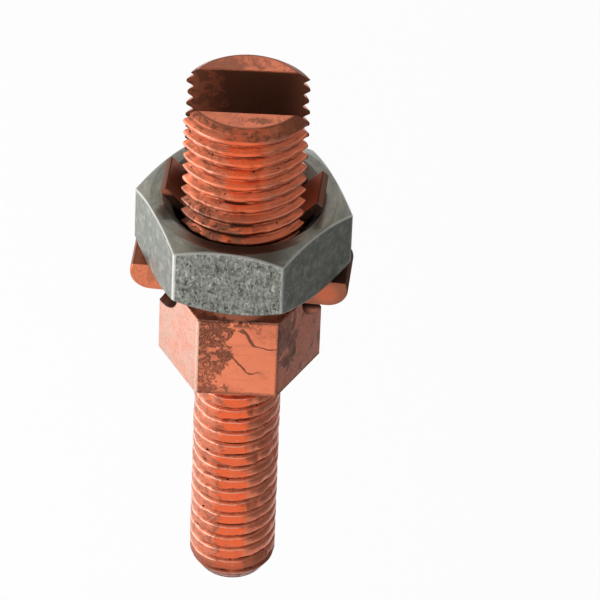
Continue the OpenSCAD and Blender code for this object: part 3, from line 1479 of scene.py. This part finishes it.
        # Soot on the walls is painted shade in the slot, deepest at the bottom; the brown is partly tarnish.
        layers.add(
            Tone.SOOT,
            0.36 + 0.28 * dark * middle - 0.3 * bright_end,
            low * (0.92 - 0.75 * bright_end - 0.3 * x.fade(-5.4, -6.8)),
            within=wall,
        )


@dataclass
class Post:
    """The post: stud, collar and two legs, turned and slotted from one bar.

    Attributes:
        sizes: Main sizes of the frame.
        finish: Copper that it is dressed in.
        stud_pitch: Pitch of the stud's thread.
        stud_phase: Where the stud's crests lie.
        leg_r: Major radius of the legs' thread.
        leg_pitch: Pitch of the legs' thread.
        leg_phase: Where the legs' crests lie.
        stud_chamfer: Inset and run of the chamfer at the stud's end.
        leg_chamfer: Inset and run of the chamfer at the legs' tops.
        lead_in: Inset and run of the taper where the legs' thread starts.
        neck_h: Height of the plain neck between collar and thread.
        neck_drop: How far the neck lies below the thread's crests.
        neck_taper: Inset and run of the neck's end inside the thread.
        slot_w: Width of the slot.
        slot_edge: Width of the broken edge at the slot's mouth.
        slot_steps: Points round the slot's bottom.
        edge: Rounding of the collar's edges.
        edge_steps: Steps round a corner of the collar.
        dent: How far handling has dented the crests.
        columns: Steps round the axis.
        piece: The finished mesh.
    """

    sizes: FrameSizes
    finish: CopperFinish
    stud_pitch: float = INCH / 18
    stud_phase: float = 0.1
    leg_r: float = 6.3
    leg_pitch: float = INCH / 20
    leg_phase: float = 0.0
    stud_chamfer: Pair = (0.9, 1.4)
    leg_chamfer: Pair = (1.0, 0.8)
    lead_in: Pair = (1.0, 0.5)
    neck_h: float = 1.2
    neck_drop: float = 0.1
    neck_taper: Pair = (0.7, 0.4)
    slot_w: float = 6.0
    slot_edge: float = 0.12
    slot_steps: int = 33
    edge: float = 0.15
    edge_steps: int = 4
    dent: float = 0.18
    columns: int = 160
    piece: bpy.types.Object | None = field(default=None, repr=False)

    def leg_thread(self) -> Thread:
        """Gives the thread of the legs."""
        return Thread(self.leg_r, self.leg_pitch, self.leg_phase,
                      flat_share=0.12, crest_share=0.12, root_share=0.12, depth_share=0.43)

    def stud_thread(self) -> Thread:
        """Gives the thread of the stud."""
        return Thread(self.sizes.stud_r, self.stud_pitch, self.stud_phase,
                      flat_share=0.58, crest_share=0.06, root_share=0.06, depth_share=0.22)

    def stud(self) -> bpy.types.Object:
        """Makes the threaded stud, with its end chamfered.

        Returns:
            The stud, reaching up into the collar.
        """
        inset, run = self.stud_chamfer
        radius = self.sizes.stud_r
        end = self.sizes.stud_end
        reach = self.edge * 2
        made = Shape.threaded_rod("post", self.stud_thread(), end, reach, self.columns, self.dent)
        envelope = Shape.lathe("stud_envelope", [
            (0, end), (radius - inset, end), (radius, end + run), (radius, reach), (0, reach),
        ], self.columns)
        Shape.combine(made, envelope, Cut.KEEP)
        return made

    def legs(self) -> bpy.types.Object:
        """Makes the threaded blank that the slot divides.

        Returns:
            The blank, reaching down into the collar.
        """
        inset, run = self.leg_chamfer
        lead, lead_run = self.lead_in
        taper, taper_run = self.neck_taper
        low = self.sizes.collar_top - self.edge * 2
        top = self.sizes.post_top
        start = self.sizes.collar_top + self.neck_h
        made = Shape.threaded_rod("legs", self.leg_thread(), start, top, self.columns, self.dent)
        envelope = Shape.lathe("leg_envelope", [
            (0, start), (self.leg_r - lead, start), (self.leg_r, start + lead_run),
            (self.leg_r, top - run), (self.leg_r - inset, top), (0, top),
        ], self.columns)
        Shape.combine(made, envelope, Cut.KEEP)
        neck_r = self.leg_r - self.neck_drop
        neck = Shape.lathe("neck", [
            (0, low), (neck_r, low), (neck_r, start),
            (neck_r - taper, start + taper_run), (0, start + taper_run),
        ], self.columns)
        Shape.combine(made, neck, Cut.JOIN)
        return made

    def collar(self) -> bpy.types.Object:
        """Makes the hexagonal collar with softly broken edges.

        Returns:
            The collar.
        """
        flat_r = self.sizes.collar_flat
        outline = Shape.rounded_hexagon(flat_r, self.edge, 0, self.edge_steps)
        count = len(outline)
        share = 1 - self.edge / flat_r
        top = self.sizes.collar_top
        rings = [(share, 0.0), (1.0, self.edge), (1.0, top - self.edge), (share, top)]
        points = [(*(corner * scale), height) for scale, height in rings for corner in outline]
        faces = [tuple(range(count - 1, -1, -1)), tuple(range(3 * count, 4 * count))]
        faces += Shape.bands(len(rings), count)
        return Shape.make("collar", np.array(points), faces)

    def slot(self) -> bpy.types.Object:
        """Makes the cutter of the slot, with a half-round bottom and a broken mouth.

        Returns:
            The cutter.
        """
        half = self.slot_w / 2
        axis_z = self.sizes.collar_top
        top = self.sizes.post_top
        past = 1.0
        mouth = half + self.slot_edge
        arc = np.linspace(math.pi, math.tau, self.slot_steps)
        outline = [(mouth + past, top + past), (-mouth - past, top + past), (-half, top - self.slot_edge)]
        outline += [(half * math.cos(a), axis_z + half * math.sin(a)) for a in arc]
        outline += [(half, top - self.slot_edge)]
        return Shape.prism("slot", outline, self.sizes.collar_corner + past, Axis.ALONG_SLOT)

    def build(self) -> None:
        """Makes the post's mesh and puts it in place of its node."""
        made = self.stud()
        Shape.combine(made, self.collar(), Cut.JOIN)
        Shape.combine(made, self.legs(), Cut.JOIN)
        Shape.combine(made, self.slot(), Cut.TAKE)
        Shape.settle(made, "post_body", "post", "post_copper")
        self.piece = made

    def regions(self, spot: Spot) -> PostRegions:
        """Finds the post's regions.

        Args:
            spot: The point being shaded.

        Returns:
            The masks and the places.
        """
        graph, z = spot.graph, spot.z
        half_slot = self.slot_w / 2
        top = self.sizes.post_top
        end = self.sizes.stud_end
        collar_top = self.sizes.collar_top
        neck_top = collar_top + self.neck_h
        chamfer_low = top - self.leg_chamfer[1]
        on_leg, on_stud = self.leg_thread(), self.stud_thread()
        stud = z.fade(0.02, -0.02)
        collar = z.fade(-0.02, 0.02) * z.fade(collar_top + 0.02, collar_top - 0.02)
        flat_top = z.fade(top - 0.06, top - 0.02)
        away = graph.length(spot.y, (z - collar_top).least(0.0))
        wall = away.fade(half_slot + 0.07, half_slot + 0.02)
        threaded = (1 - collar) * (1 - wall) * (1 - flat_top)
        chamfer = z.fade(chamfer_low - 0.1, chamfer_low + 0.05) * threaded
        neck = z.fade(collar_top - 0.1, collar_top - 0.02) * z.fade(neck_top + 0.4, neck_top) * (1 - wall)
        crest = stud.pick(on_leg.major_r, on_stud.major_r)
        depth = stud.pick(on_leg.depth_share * on_leg.pitch, on_stud.depth_share * on_stud.pitch)
        ride = stud.pick(z / on_leg.pitch - on_leg.phase, z / on_stud.pitch - on_stud.phase)
        across = spot.x / crest
        each_turn = graph.grain(graph.vector(spot.angle * 0.4, 0.0, z), 0.7, 2.0)
        steady = across + 0.12 * (spot.blotch - 0.5)
        drift = steady + 0.8 * (each_turn - 0.5)
        # The red band down the front is a painted reflection of bright surroundings in the flanks, not the
        # copper's own colour.
        reflected_strip_end = stud.pick(steady.fade(0.38, 0.18), steady.fade(0.32, 0.28))
        return PostRegions(
            wall=wall,
            flat_top=flat_top,
            collar=collar,
            stud=stud,
            leg=z.fade(collar_top, collar_top + 0.05),
            threaded=threaded,
            chamfer=chamfer,
            neck=neck,
            plain=threaded * (1 - chamfer) * (1 - neck),
            tip=z.fade(end + 3.2, end + 1.6),
            groove=(crest - spot.radius) / depth,
            ride=graph.maths("FRACT", ride - spot.angle / math.tau + 0.5) - 0.5,
            across=across,
            steady=steady,
            drift=drift,
            each_turn=each_turn,
            strip=(drift - 0.15 * (1 - stud)).fade(-0.42, -0.34) * reflected_strip_end,
        )

    def dress(self) -> None:
        """Gives the post its copper, stained and rubbed as in use."""
        material, graph = Graph.for_material(self.finish.name)
        self.finish.lay(graph, PostStains.start(self, graph).gather())
        Shape.cover(self.piece, material)


@dataclass
class Nut:
    """The clamping nut, with its thread inside.

    Attributes:
        sizes: Main sizes of the frame.
        finish: Plating that it is dressed in.
        thread: Thread of the legs that it runs on.
        flat_r: Distance from the axis to a flat.
        turn: How far it stands turned from the collar, in degrees.
        face_margin: Margin between its round faces and its flats.
        corner_slope: Slope of the corner chamfers in degrees.
        sink: Width and depth of the countersink at the top.
        undersink: Width and depth of the countersink below.
        bore_r: Radius of the bore at the thread's roots.
        play: Clearance between the two threads.
        edge: Rounding of the edges.
        corner_r: Radius of the upright corners.
        round_share: Largest share of a face that the rounding of an edge takes.
        round_steps: Points across that rounding.
        per_flat: Steps along a flat.
        per_corner: Steps round a corner.
        per_pitch: Steps in one pitch of the thread.
        wear_w: Width over which the wear along the edges fades out.
        wear_share: Largest share of a face that this wear takes.
        corner_wear_and_glint: How pale each upright corner is, from the one at +X on: wear, with a painted
            highlight that is strongest on the lit front-left corner.
        rim_wear: How worn the edges between the cones and the flats are.
        piece: The finished mesh.
    """

    sizes: FrameSizes
    finish: PlatingFinish
    thread: Thread
    flat_r: float = 8.55
    turn: float = -6.8
    face_margin: float = 0.1
    corner_slope: float = 32.0
    sink: float = 1.0
    undersink: float = 0.4
    bore_r: float = 6.35
    play: float = 0.05
    edge: float = 0.09
    corner_r: float = 0.24
    round_share: float = 0.45
    round_steps: int = 5
    per_flat: int = 21
    per_corner: int = 5
    per_pitch: int = 14
    wear_w: float = 0.13
    wear_share: float = 0.5
    corner_wear_and_glint: tuple[float, ...] = (0.4, 0.5, 0.6, 0.7, 1.0, 0.4)
    rim_wear: float = 0.42
    piece: bpy.types.Object | None = field(default=None, repr=False)

    def inside(self, angle: np.ndarray) -> tuple[np.ndarray, np.ndarray]:
        """Works out the bore: thread, and a countersink at each end.

        Args:
            angle: Angle of each column in radians.

        Returns:
            Radii and heights, one row for each step up the bore.
        """
        height = self.sizes.nut_high - self.sizes.nut_low
        steps = round(height / self.thread.pitch * self.per_pitch)
        rise = np.linspace(0, height, steps + 1)
        radius = self.thread.radius(angle[None, :], (rise + self.sizes.nut_low)[:, None]) + self.play
        top_cone = self.bore_r + self.sink - (height - rise)
        low_cone = self.bore_r + self.undersink - rise
        cone = np.maximum(top_cone, low_cone)[:, None]
        return np.maximum(radius, cone), np.broadcast_to(rise[:, None], radius.shape)

    def outside(self, reach: float) -> tuple[Outline, list[float]]:
        """Works out one column of the outside, from the top countersink down.

        Args:
            reach: Distance from the axis to the flat or corner there.

        Returns:
            Radius and height of each point, and how worn it is.
        """
        height = self.sizes.nut_high - self.sizes.nut_low
        face_r = self.flat_r - self.face_margin
        drop = max(reach - face_r, 0.0) * math.tan(math.radians(self.corner_slope))
        corners = [
            (self.bore_r + self.sink, height), (face_r - self.edge, height), (reach, height - drop),
            (reach, drop), (face_r - self.edge, 0.0), (self.bore_r + self.undersink, 0.0),
        ]
        points = [corners[0]]
        wear = [0.0]
        for before, corner, after in zip(corners, corners[1:], corners[2:]):
            into = self.step_back(corner, before, self.edge, self.round_share)
            out = self.step_back(corner, after, self.edge, self.round_share)
            on_rim = corner[0] == reach
            worn = self.rim_wear if on_rim and corner[1] > height / 2 else 0.0
            if on_rim:
                points.append(self.step_back(corner, before, self.edge + self.wear_w, self.wear_share))
                wear.append(0.0)
            for share in np.linspace(0.0, 1.0, self.round_steps):
                weights = ((1 - share) ** 2, 2 * share * (1 - share), share ** 2)
                points.append(tuple(np.dot(weights, (into, corner, out))))
                wear.append(worn)
            if on_rim:
                points.append(self.step_back(corner, after, self.edge + self.wear_w, self.wear_share))
                wear.append(0.0)
        points.append(corners[-1])
        wear.append(0.0)
        return points, wear

    @staticmethod
    def step_back(corner: Pair, towards: Pair, length: float, most: float) -> Pair:
        """Gives a point a little way from an edge.

        Args:
            corner: The sharp edge.
            towards: The next point along the outline.
            length: How far to go.
            most: Largest share of the way to the next point.

        Returns:
            Radius and height.
        """
        share = min(length / math.dist(corner, towards), most)
        return tuple(corner[axis] + (towards[axis] - corner[axis]) * share for axis in (0, 1))

    def build(self) -> None:
        """Makes the nut's mesh and puts it in place of its node."""
        outline = Shape.rounded_hexagon(
            self.flat_r, self.corner_r, self.per_flat, self.per_corner, self.wear_w,
        )
        reach = np.hypot(outline[:, 0], outline[:, 1])
        local = np.arctan2(outline[:, 1], outline[:, 0])
        angle = local + math.radians(self.turn)
        count = len(outline)
        inner_r, inner_z = self.inside(angle)
        outer = [self.outside(distance) for distance in reach]
        outer_r = np.array([[point[0] for point in column] for column, _ in outer]).T
        outer_z = np.array([[point[1] for point in column] for column, _ in outer]).T
        edge_wear = np.array([worn for _, worn in outer]).T
        radius = np.concatenate([inner_r, outer_r[1:-1]])
        height = np.concatenate([inner_z, outer_z[1:-1]]) + self.sizes.nut_low
        rows = len(radius)
        points = np.stack([radius * np.cos(angle), radius * np.sin(angle), height], axis=2)
        total = rows * count
        rings = Shape.bands(rows + 1, count)
        faces = [tuple(number % total for number in reversed(ring)) for ring in rings]
        made = Shape.make("nut", points.reshape(-1, 3), faces)
        corner = np.round(local / HEX_STEP).astype(int)
        on_corner = np.abs(local - corner * HEX_STEP) * reach < self.corner_r * HEX_STEP / 2 + self.wear_w / 2
        corner_wear_and_glint = np.array(self.corner_wear_and_glint)[corner % 6] * on_corner
        wear = np.zeros((rows, count))
        on_flat = np.zeros((rows, count))
        on_flat[len(inner_r):] = np.isclose(outer_r, reach[None, :])[1:-1]
        wear[len(inner_r):] = edge_wear[1:-1]
        wear = np.maximum(wear, corner_wear_and_glint[None, :] * on_flat)
        for name, values in (("wear", wear), ("flat", on_flat)):
            layer = made.data.attributes.new(name, "FLOAT", "POINT")
            layer.data.foreach_set("value", values.astype(np.float32).ravel())
        Shape.settle(made, "clamping_nut", "nut", "nut_plating")
        self.piece = made

    def dress(self) -> None:
        """Gives the nut its plating."""
        Shape.cover(self.piece, self.finish.build(self.bore_r, self.flat_r, self.turn))


@dataclass
class Bar:
    """The pressure bar with its two prongs.

    Attributes:
        sizes: Main sizes of the frame.
        finish: Copper that it is dressed in.
        half_l: Half of the bar's length.
        thick: Thickness of the bar.
        width: Width of the bar.
        end_r: Radius of its ends, seen from the side.
        turn: How far it lies turned in the slot, in degrees.
        prong_x: Distance from the middle to a prong's outer face.
        prong_t: Thickness of a prong.
        prong_w: Width of a prong.
        bend_z: Height above the bar's underside where the prongs start to bend.
        bend_r: Radius of the bend on its inner side.
        lean: How far the lips lean out from upright, in degrees.
        lip_l: Length of the straight lip.
        edge: Rounding of the edges.
        edge_steps: Faces across that rounding.
        end_steps: Points round an end.
        bend_steps: Points along a bend.
        glow_x: Place along the bar where its side is reddest.
        piece: The finished mesh.
    """

    sizes: FrameSizes
    finish: CopperFinish
    half_l: float = 9.85
    thick: float = 2.8
    width: float = 5.1
    end_r: float = 1.9
    turn: float = -4.13
    prong_x: float = 4.9
    prong_t: float = 0.8
    prong_w: float = 4.7
    bend_z: float = 7.6
    bend_r: float = 2.0
    lean: float = 42.0
    lip_l: float = 2.9
    edge: float = 0.16
    edge_steps: int = 3
    end_steps: int = 17
    bend_steps: int = 13
    glow_x: float = 7.9
    piece: bpy.types.Object | None = field(default=None, repr=False)

    def beam(self) -> bpy.types.Object:
        """Makes the bar itself, its ends rounded like a boat's.

        Returns:
            The bar.
        """
        top = math.asin(self.thick / self.end_r - 1)
        right = [(self.half_l - self.end_r + self.end_r * math.cos(a), self.end_r + self.end_r * math.sin(a))
                 for a in np.linspace(-math.pi / 2, top, self.end_steps)]
        left = [(-x, z) for x, z in reversed(right)]
        made = Shape.prism("bar", left + right, self.width / 2, Axis.ACROSS_SLOT)
        Shape.soften(made, self.edge, self.edge_steps)
        return made

    def prong(self, side: Side) -> bpy.types.Object:
        """Makes one prong: upright, then bent outwards.

        Args:
            side: End of the bar that it stands on.

        Returns:
            The prong.
        """
        lean = math.radians(self.lean)
        sweep = np.linspace(0, lean, self.bend_steps)
        hub = self.prong_x + self.bend_r
        back_r = self.bend_r + self.prong_t
        tip = self.lip_l * np.array([math.sin(lean), math.cos(lean)])

        def bend(radius: float) -> list[np.ndarray]:
            """Draws one side of the bend and its lip."""
            arc = [np.array([hub - radius * math.cos(a), self.bend_z + radius * math.sin(a)]) for a in sweep]
            return arc + [arc[-1] + tip]

        low = self.thick / 2
        outer = [np.array([self.prong_x, low])] + bend(self.bend_r)
        inner = [np.array([self.prong_x - self.prong_t, low])] + bend(back_r)
        outline = [(side.value * x, z) for x, z in outer + inner[::-1]]
        made = Shape.prism(f"prong_{side.name.lower()}", outline, self.prong_w / 2, Axis.ACROSS_SLOT)
        Shape.soften(made, self.edge, self.edge_steps)
        return made

    def build(self) -> None:
        """Makes the bar's mesh and puts it in place of its node."""
        made = self.beam()
        for side in Side:
            Shape.combine(made, self.prong(side), Cut.JOIN)
        turn = Matrix.Rotation(math.radians(self.turn), 4, "Z")
        made.data.transform(Matrix.Translation((0, 0, self.sizes.bar_low)) @ turn)
        Shape.settle(made, "pressure_bar", "bar", "bar_copper")
        self.piece = made

    def mark(self, spot: Spot, layers: Layers) -> None:
        """Browns the bar, darkens its edges, and paints shade on its top under the nut, on its prongs and on
        the end that lies in shade.

        Args:
            spot: The point being shaded.
            layers: Where the marks go.
        """
        graph, blotch = spot.graph, spot.blotch
        turn, lean = math.radians(self.turn), math.radians(self.lean)
        hub = self.prong_x + self.bend_r
        lip_end = hub * math.sin(lean) + self.bend_z * math.cos(lean) + self.lip_l
        lip_face = hub * math.cos(lean) - self.bend_z * math.sin(lean) - self.bend_r
        half_prong, half_w, top = self.prong_w / 2, self.width / 2, self.thick
        sunk_z = self.sizes.nut_high - self.sizes.bar_low
        along = math.cos(turn) * spot.x + math.sin(turn) * spot.y
        across = math.cos(turn) * spot.y - math.sin(turn) * spot.x
        rise = spot.z - self.sizes.bar_low
        up_lip = math.sin(lean) * abs(along) + math.cos(lean) * rise
        through_lip = math.cos(lean) * abs(along) - math.sin(lean) * rise
        streak = graph.grain(graph.stretch(spot.point, (0.3, 1.0, 0.3)), 0.6, 4.0)
        right = along.fade(-1.0, 1.0)
        left = 1 - right
        prong = rise.fade(top + 0.03, top + 0.08)
        beam = 1 - prong
        # upper, the top face, is painted in shade under the nut, darkest on the right end.
        upper = rise.fade(top - 0.12, top - 0.02) * rise.fade(top + 0.08, top + 0.03)
        lip = up_lip.fade(lip_end - 0.14, lip_end - 0.06) * prong
        rim = abs(through_lip - lip_face + self.prong_t / 2).fade(0.16, 0.34) * lip
        # The prongs' side faces are painted in shadow on the right prong; lower down they get the painted
        # shadow near the nut.
        side = abs(across).fade(half_prong - 0.14, half_prong - 0.06) * prong
        sunk_shadow = rise.fade(sunk_z + 1.35, sunk_z + 0.9) * side
        inner = prong * (1 - side) * (1 - lip)
        skirt = abs(across).fade(half_w - 0.03, half_w - 0.10) * beam * (1 - upper)
        tail = abs(along).fade(self.half_l - 0.48, self.half_l - 0.36) * upper
        glow = ((along - self.glow_x).squared() + (rise - top / 2).squared()).fade(2.2, 0.1)
        # On the right end the colours paint the shade that it lies in.
        layers.add(Tone.DEEP, prong * (0.4 + 0.6 * right), beam * right * (0.2 + 0.6 * glow))
        layers.add(
            Tone.DULL,
            0.45 * (1 - inner * right),
            right * beam * (1 - 0.45 * glow),
            blotch.fade(0.45, 0.6) * 0.6,
        )
        layers.add(
            Tone.BROWN,
            spot.fine.fade(0.5, 0.65) * 0.35,
            upper * 0.75,
            inner * left * 0.7,
            lip * 0.9,
            side * 0.85,
            beam * blotch.fade(0.52, 0.64) * 0.35,
            beam * right * (0.75 - 0.35 * glow),
            skirt * 0.85,
            tail * 0.9,
        )
        # MAROON and SOOT on the prongs' inner faces paint shade, and at the back paint out a reflection.
        layers.add(Tone.MAROON, inner * right * 0.85, upper * streak.fade(0.4, 0.6) * 0.6)
        layers.add(
            Tone.SOOT,
            upper * (0.05 + 0.87 * right),
            skirt * (0.35 + 0.4 * right),
            tail * 0.4,
            inner * left * streak.fade(0.46, 0.62) * 0.2,
            inner * left * across.fade(-0.6, 1.8) * 0.1,
            lip * 0.5,
            rim * 0.85,
            side * (0.04 + 0.91 * right),
            sunk_shadow * 0.95,
        )
        layers.add(Tone.BRIGHT, lip * side * right * 0.15)

    def dress(self) -> None:
        """Gives the bar its copper."""
        material, graph = Graph.for_material(self.finish.name)
        layers = Layers()
        self.mark(Spot.read(graph), layers)
        self.finish.lay(graph, layers)
        Shape.cover(self.piece, material)


@dataclass(frozen=True)
class Viewpoint:
    """The camera, at the photograph's angle.

    Attributes:
        target: Point on the axis that the view is measured from.
        distance: Distance of the camera from the target.
        focal_px: Focal length in pixels of the picture.
        azimuth: Degrees round to the right of the front.
        elevation: Degrees above the horizon.
        roll: Degrees that the picture leans.
        target_px: Pixel where the target shows.
        sensor: Width of the sensor.
    """

    target: Point = (0.0, 0.0, 4.0)
    distance: float = 650.0
    focal_px: float = 7185.1
    azimuth: float = 1.21
    elevation: float = 39.93
    roll: float = 2.0
    target_px: Pair = (240.0, 316.6)
    sensor: float = 36.0

    def build(self) -> None:
        """Makes the camera."""
        turn = math.radians(self.azimuth)
        rise = math.radians(self.elevation)
        lean = math.radians(self.roll)
        back = Vector((math.sin(turn) * math.cos(rise), -math.cos(turn) * math.cos(rise), math.sin(rise)))
        level = Vector((0, 0, 1)).cross(back).normalized()
        upright = back.cross(level)
        right = math.cos(lean) * level + math.sin(lean) * upright
        up = math.cos(lean) * upright - math.sin(lean) * level
        middle = IMAGE_SIZE / 2
        across = (middle - self.target_px[0]) / self.focal_px
        down = (middle - self.target_px[1]) / self.focal_px
        away = (back - across * right + down * up).normalized()
        right = (right - right.dot(away) * away).normalized()
        up = away.cross(right)
        lens = bpy.data.cameras.new("camera")
        lens.sensor_width = self.sensor
        lens.lens = self.focal_px / IMAGE_SIZE * self.sensor
        lens.clip_start = self.distance * MM / 100
        lens.clip_end = self.distance * MM * 100
        camera = bpy.data.objects.new("camera", lens)
        frame_matrix = Matrix((right, up, away)).transposed().to_4x4()
        frame_matrix.translation = (Vector(self.target) + self.distance * back) * MM
        camera.matrix_world = frame_matrix
        bpy.context.scene.collection.objects.link(camera)
        bpy.context.scene.camera = camera


@dataclass(frozen=True)
class Panel:
    """Something flat that stands in the studio.

    Attributes:
        name: Its name.
        place: Its centre.
        aim: Point that it faces.
        size: Its width and height.
    """

    name: str
    place: Point
    aim: Point
    size: Pair

    def turn(self, face: str) -> Quaternion:
        """Turns the named axis of the panel towards its aim, with Y up."""
        return (Vector(self.aim) - Vector(self.place)).to_track_quat(face, "Y")


@dataclass(frozen=True)
class SoftLight(Panel):
    """One rectangular studio lamp.

    Attributes:
        radiance: Brightness of its face, where 1 is white.
    """

    radiance: float

    def build(self) -> None:
        """Makes the lamp."""
        lamp = bpy.data.lights.new(self.name, "AREA")
        lamp.shape = "RECTANGLE"
        lamp.size = self.size[0] * MM
        lamp.size_y = self.size[1] * MM
        lamp.energy = self.radiance * math.pi * lamp.size * lamp.size_y
        made = bpy.data.objects.new(self.name, lamp)
        made.location = Vector(self.place) * MM
        made.rotation_mode = "QUATERNION"
        made.rotation_quaternion = self.turn("-Z")
        bpy.context.scene.collection.objects.link(made)


@dataclass(frozen=True)
class Card(Panel):
    """A card that shades one side of the object and shows only in reflections.

    Attributes:
        grey: Brightness of its colour.
    """

    grey: float

    def build(self) -> None:
        """Stands the card up."""
        made = Shape.sheet(self.name, self.size, self.place, self.turn("Z"))
        made.visible_camera = False
        material, graph = Graph.for_material(self.name)
        paper = graph.node("ShaderNodeBsdfDiffuse", inputs={"Color": (self.grey, self.grey, self.grey)})
        graph.node("ShaderNodeOutputMaterial", inputs={"Surface": paper.outputs[0]})
        Shape.cover(made, material)


@dataclass(frozen=True)
class Studio:
    """White surroundings with a soft light from the left.

    Attributes:
        view: The camera.
        lights: The lamps.
        cards: The cards that shade the object.
        floor_z: Height of the floor.
        floor_reach: How far the floor runs each way.
        floor_colour: Colour of the floor's paper.
        shadow_keep: Share of the floor's white that shadows can darken.
    """

    view: Viewpoint
    lights: tuple[SoftLight, ...]
    cards: tuple[Card, ...]
    floor_z: float = -90.0
    floor_reach: float = 3000.0
    floor_colour: Colour = (0.9, 0.9, 0.9)
    shadow_keep: float = 0.08

    def floor(self) -> None:
        """Lays the floor, white to the rays that show it."""
        size = (2 * self.floor_reach, 2 * self.floor_reach)
        made = Shape.sheet("floor", size, (0.0, 0.0, self.floor_z), Quaternion())
        material, graph = Graph.for_material("floor_white")
        path = graph.node("ShaderNodeLightPath").outputs
        seen = Value(graph, path["Is Camera Ray"]).most(Value(graph, path["Is Glossy Ray"]))
        seen = seen.most(Value(graph, path["Is Transmission Ray"]))
        paper = graph.node("ShaderNodeBsdfDiffuse", inputs={"Color": self.floor_colour})
        white = graph.node("ShaderNodeEmission", inputs={"Color": WHITE, "Strength": 1.0})
        mixed = graph.node("ShaderNodeMixShader", inputs={"Fac": seen * (1 - self.shadow_keep)})
        graph.feed(mixed.inputs[1], paper.outputs[0])
        graph.feed(mixed.inputs[2], white.outputs[0])
        graph.node("ShaderNodeOutputMaterial", inputs={"Surface": mixed.outputs[0]})
        Shape.cover(made, material)

    def surroundings(self) -> None:
        """Fills the world with white that lights the object softly."""
        world = bpy.data.worlds.new("studio")
        world.use_nodes = True
        bpy.context.scene.world = world
        graph = Graph(world.node_tree)
        sky = graph.node("ShaderNodeBackground", inputs={"Color": WHITE, "Strength": 1.0})
        graph.node("ShaderNodeOutputWorld", inputs={"Surface": sky.outputs[0]})

    def build(self) -> None:
        """Sets up the view, the lamps, the floor and the world."""
        bpy.context.scene.view_settings.view_transform = "Standard"
        self.view.build()
        for item in (*self.lights, *self.cards):
            item.build()
        self.floor()
        self.surroundings()
        LOG.info("studio: %d lamps", len(self.lights))


def main() -> None:
    """Builds and dresses the object, then the studio."""
    logging.basicConfig(level=logging.INFO, format="%(name)s %(message)s")
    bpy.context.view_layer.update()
    sizes = FrameSizes.read(frame)
    post = Post(sizes, CopperFinish("post_copper"))
    nut = Nut(sizes, PlatingFinish("nut_plating"), post.leg_thread())
    bar = Bar(sizes, CopperFinish("bar_copper", Patina((0.88, 0.25, 0.12), 0.36, 0.25)))
    for part in (post, nut, bar):
        part.build()
        part.dress()
    lights = (
        SoftLight("key", (-100.0, 10.0, 0.0), (0.0, 10.0, 0.0), (220.0, 130.0), 1.2),
    )
    cards = (
        Card("right_card", (70.0, 20.0, -35.0), (0.0, 20.0, -35.0), (400.0, 110.0), 0.25),
        Card("roof_card_left", (-34.0, -10.0, 110.0), (-34.0, -10.0, 0.0), (124.0, 160.0), 0.75),
        Card("roof_card_right", (134.0, 0.0, 110.0), (134.0, 0.0, 0.0), (212.0, 300.0), 0.5),
        Card("back_card", (0.0, 160.0, 165.0), (0.0, 0.0, 30.0), (400.0, 120.0), 0.85),
    )
    Studio(Viewpoint(), lights, cards).build()


if __name__ == "__main__":
    main()
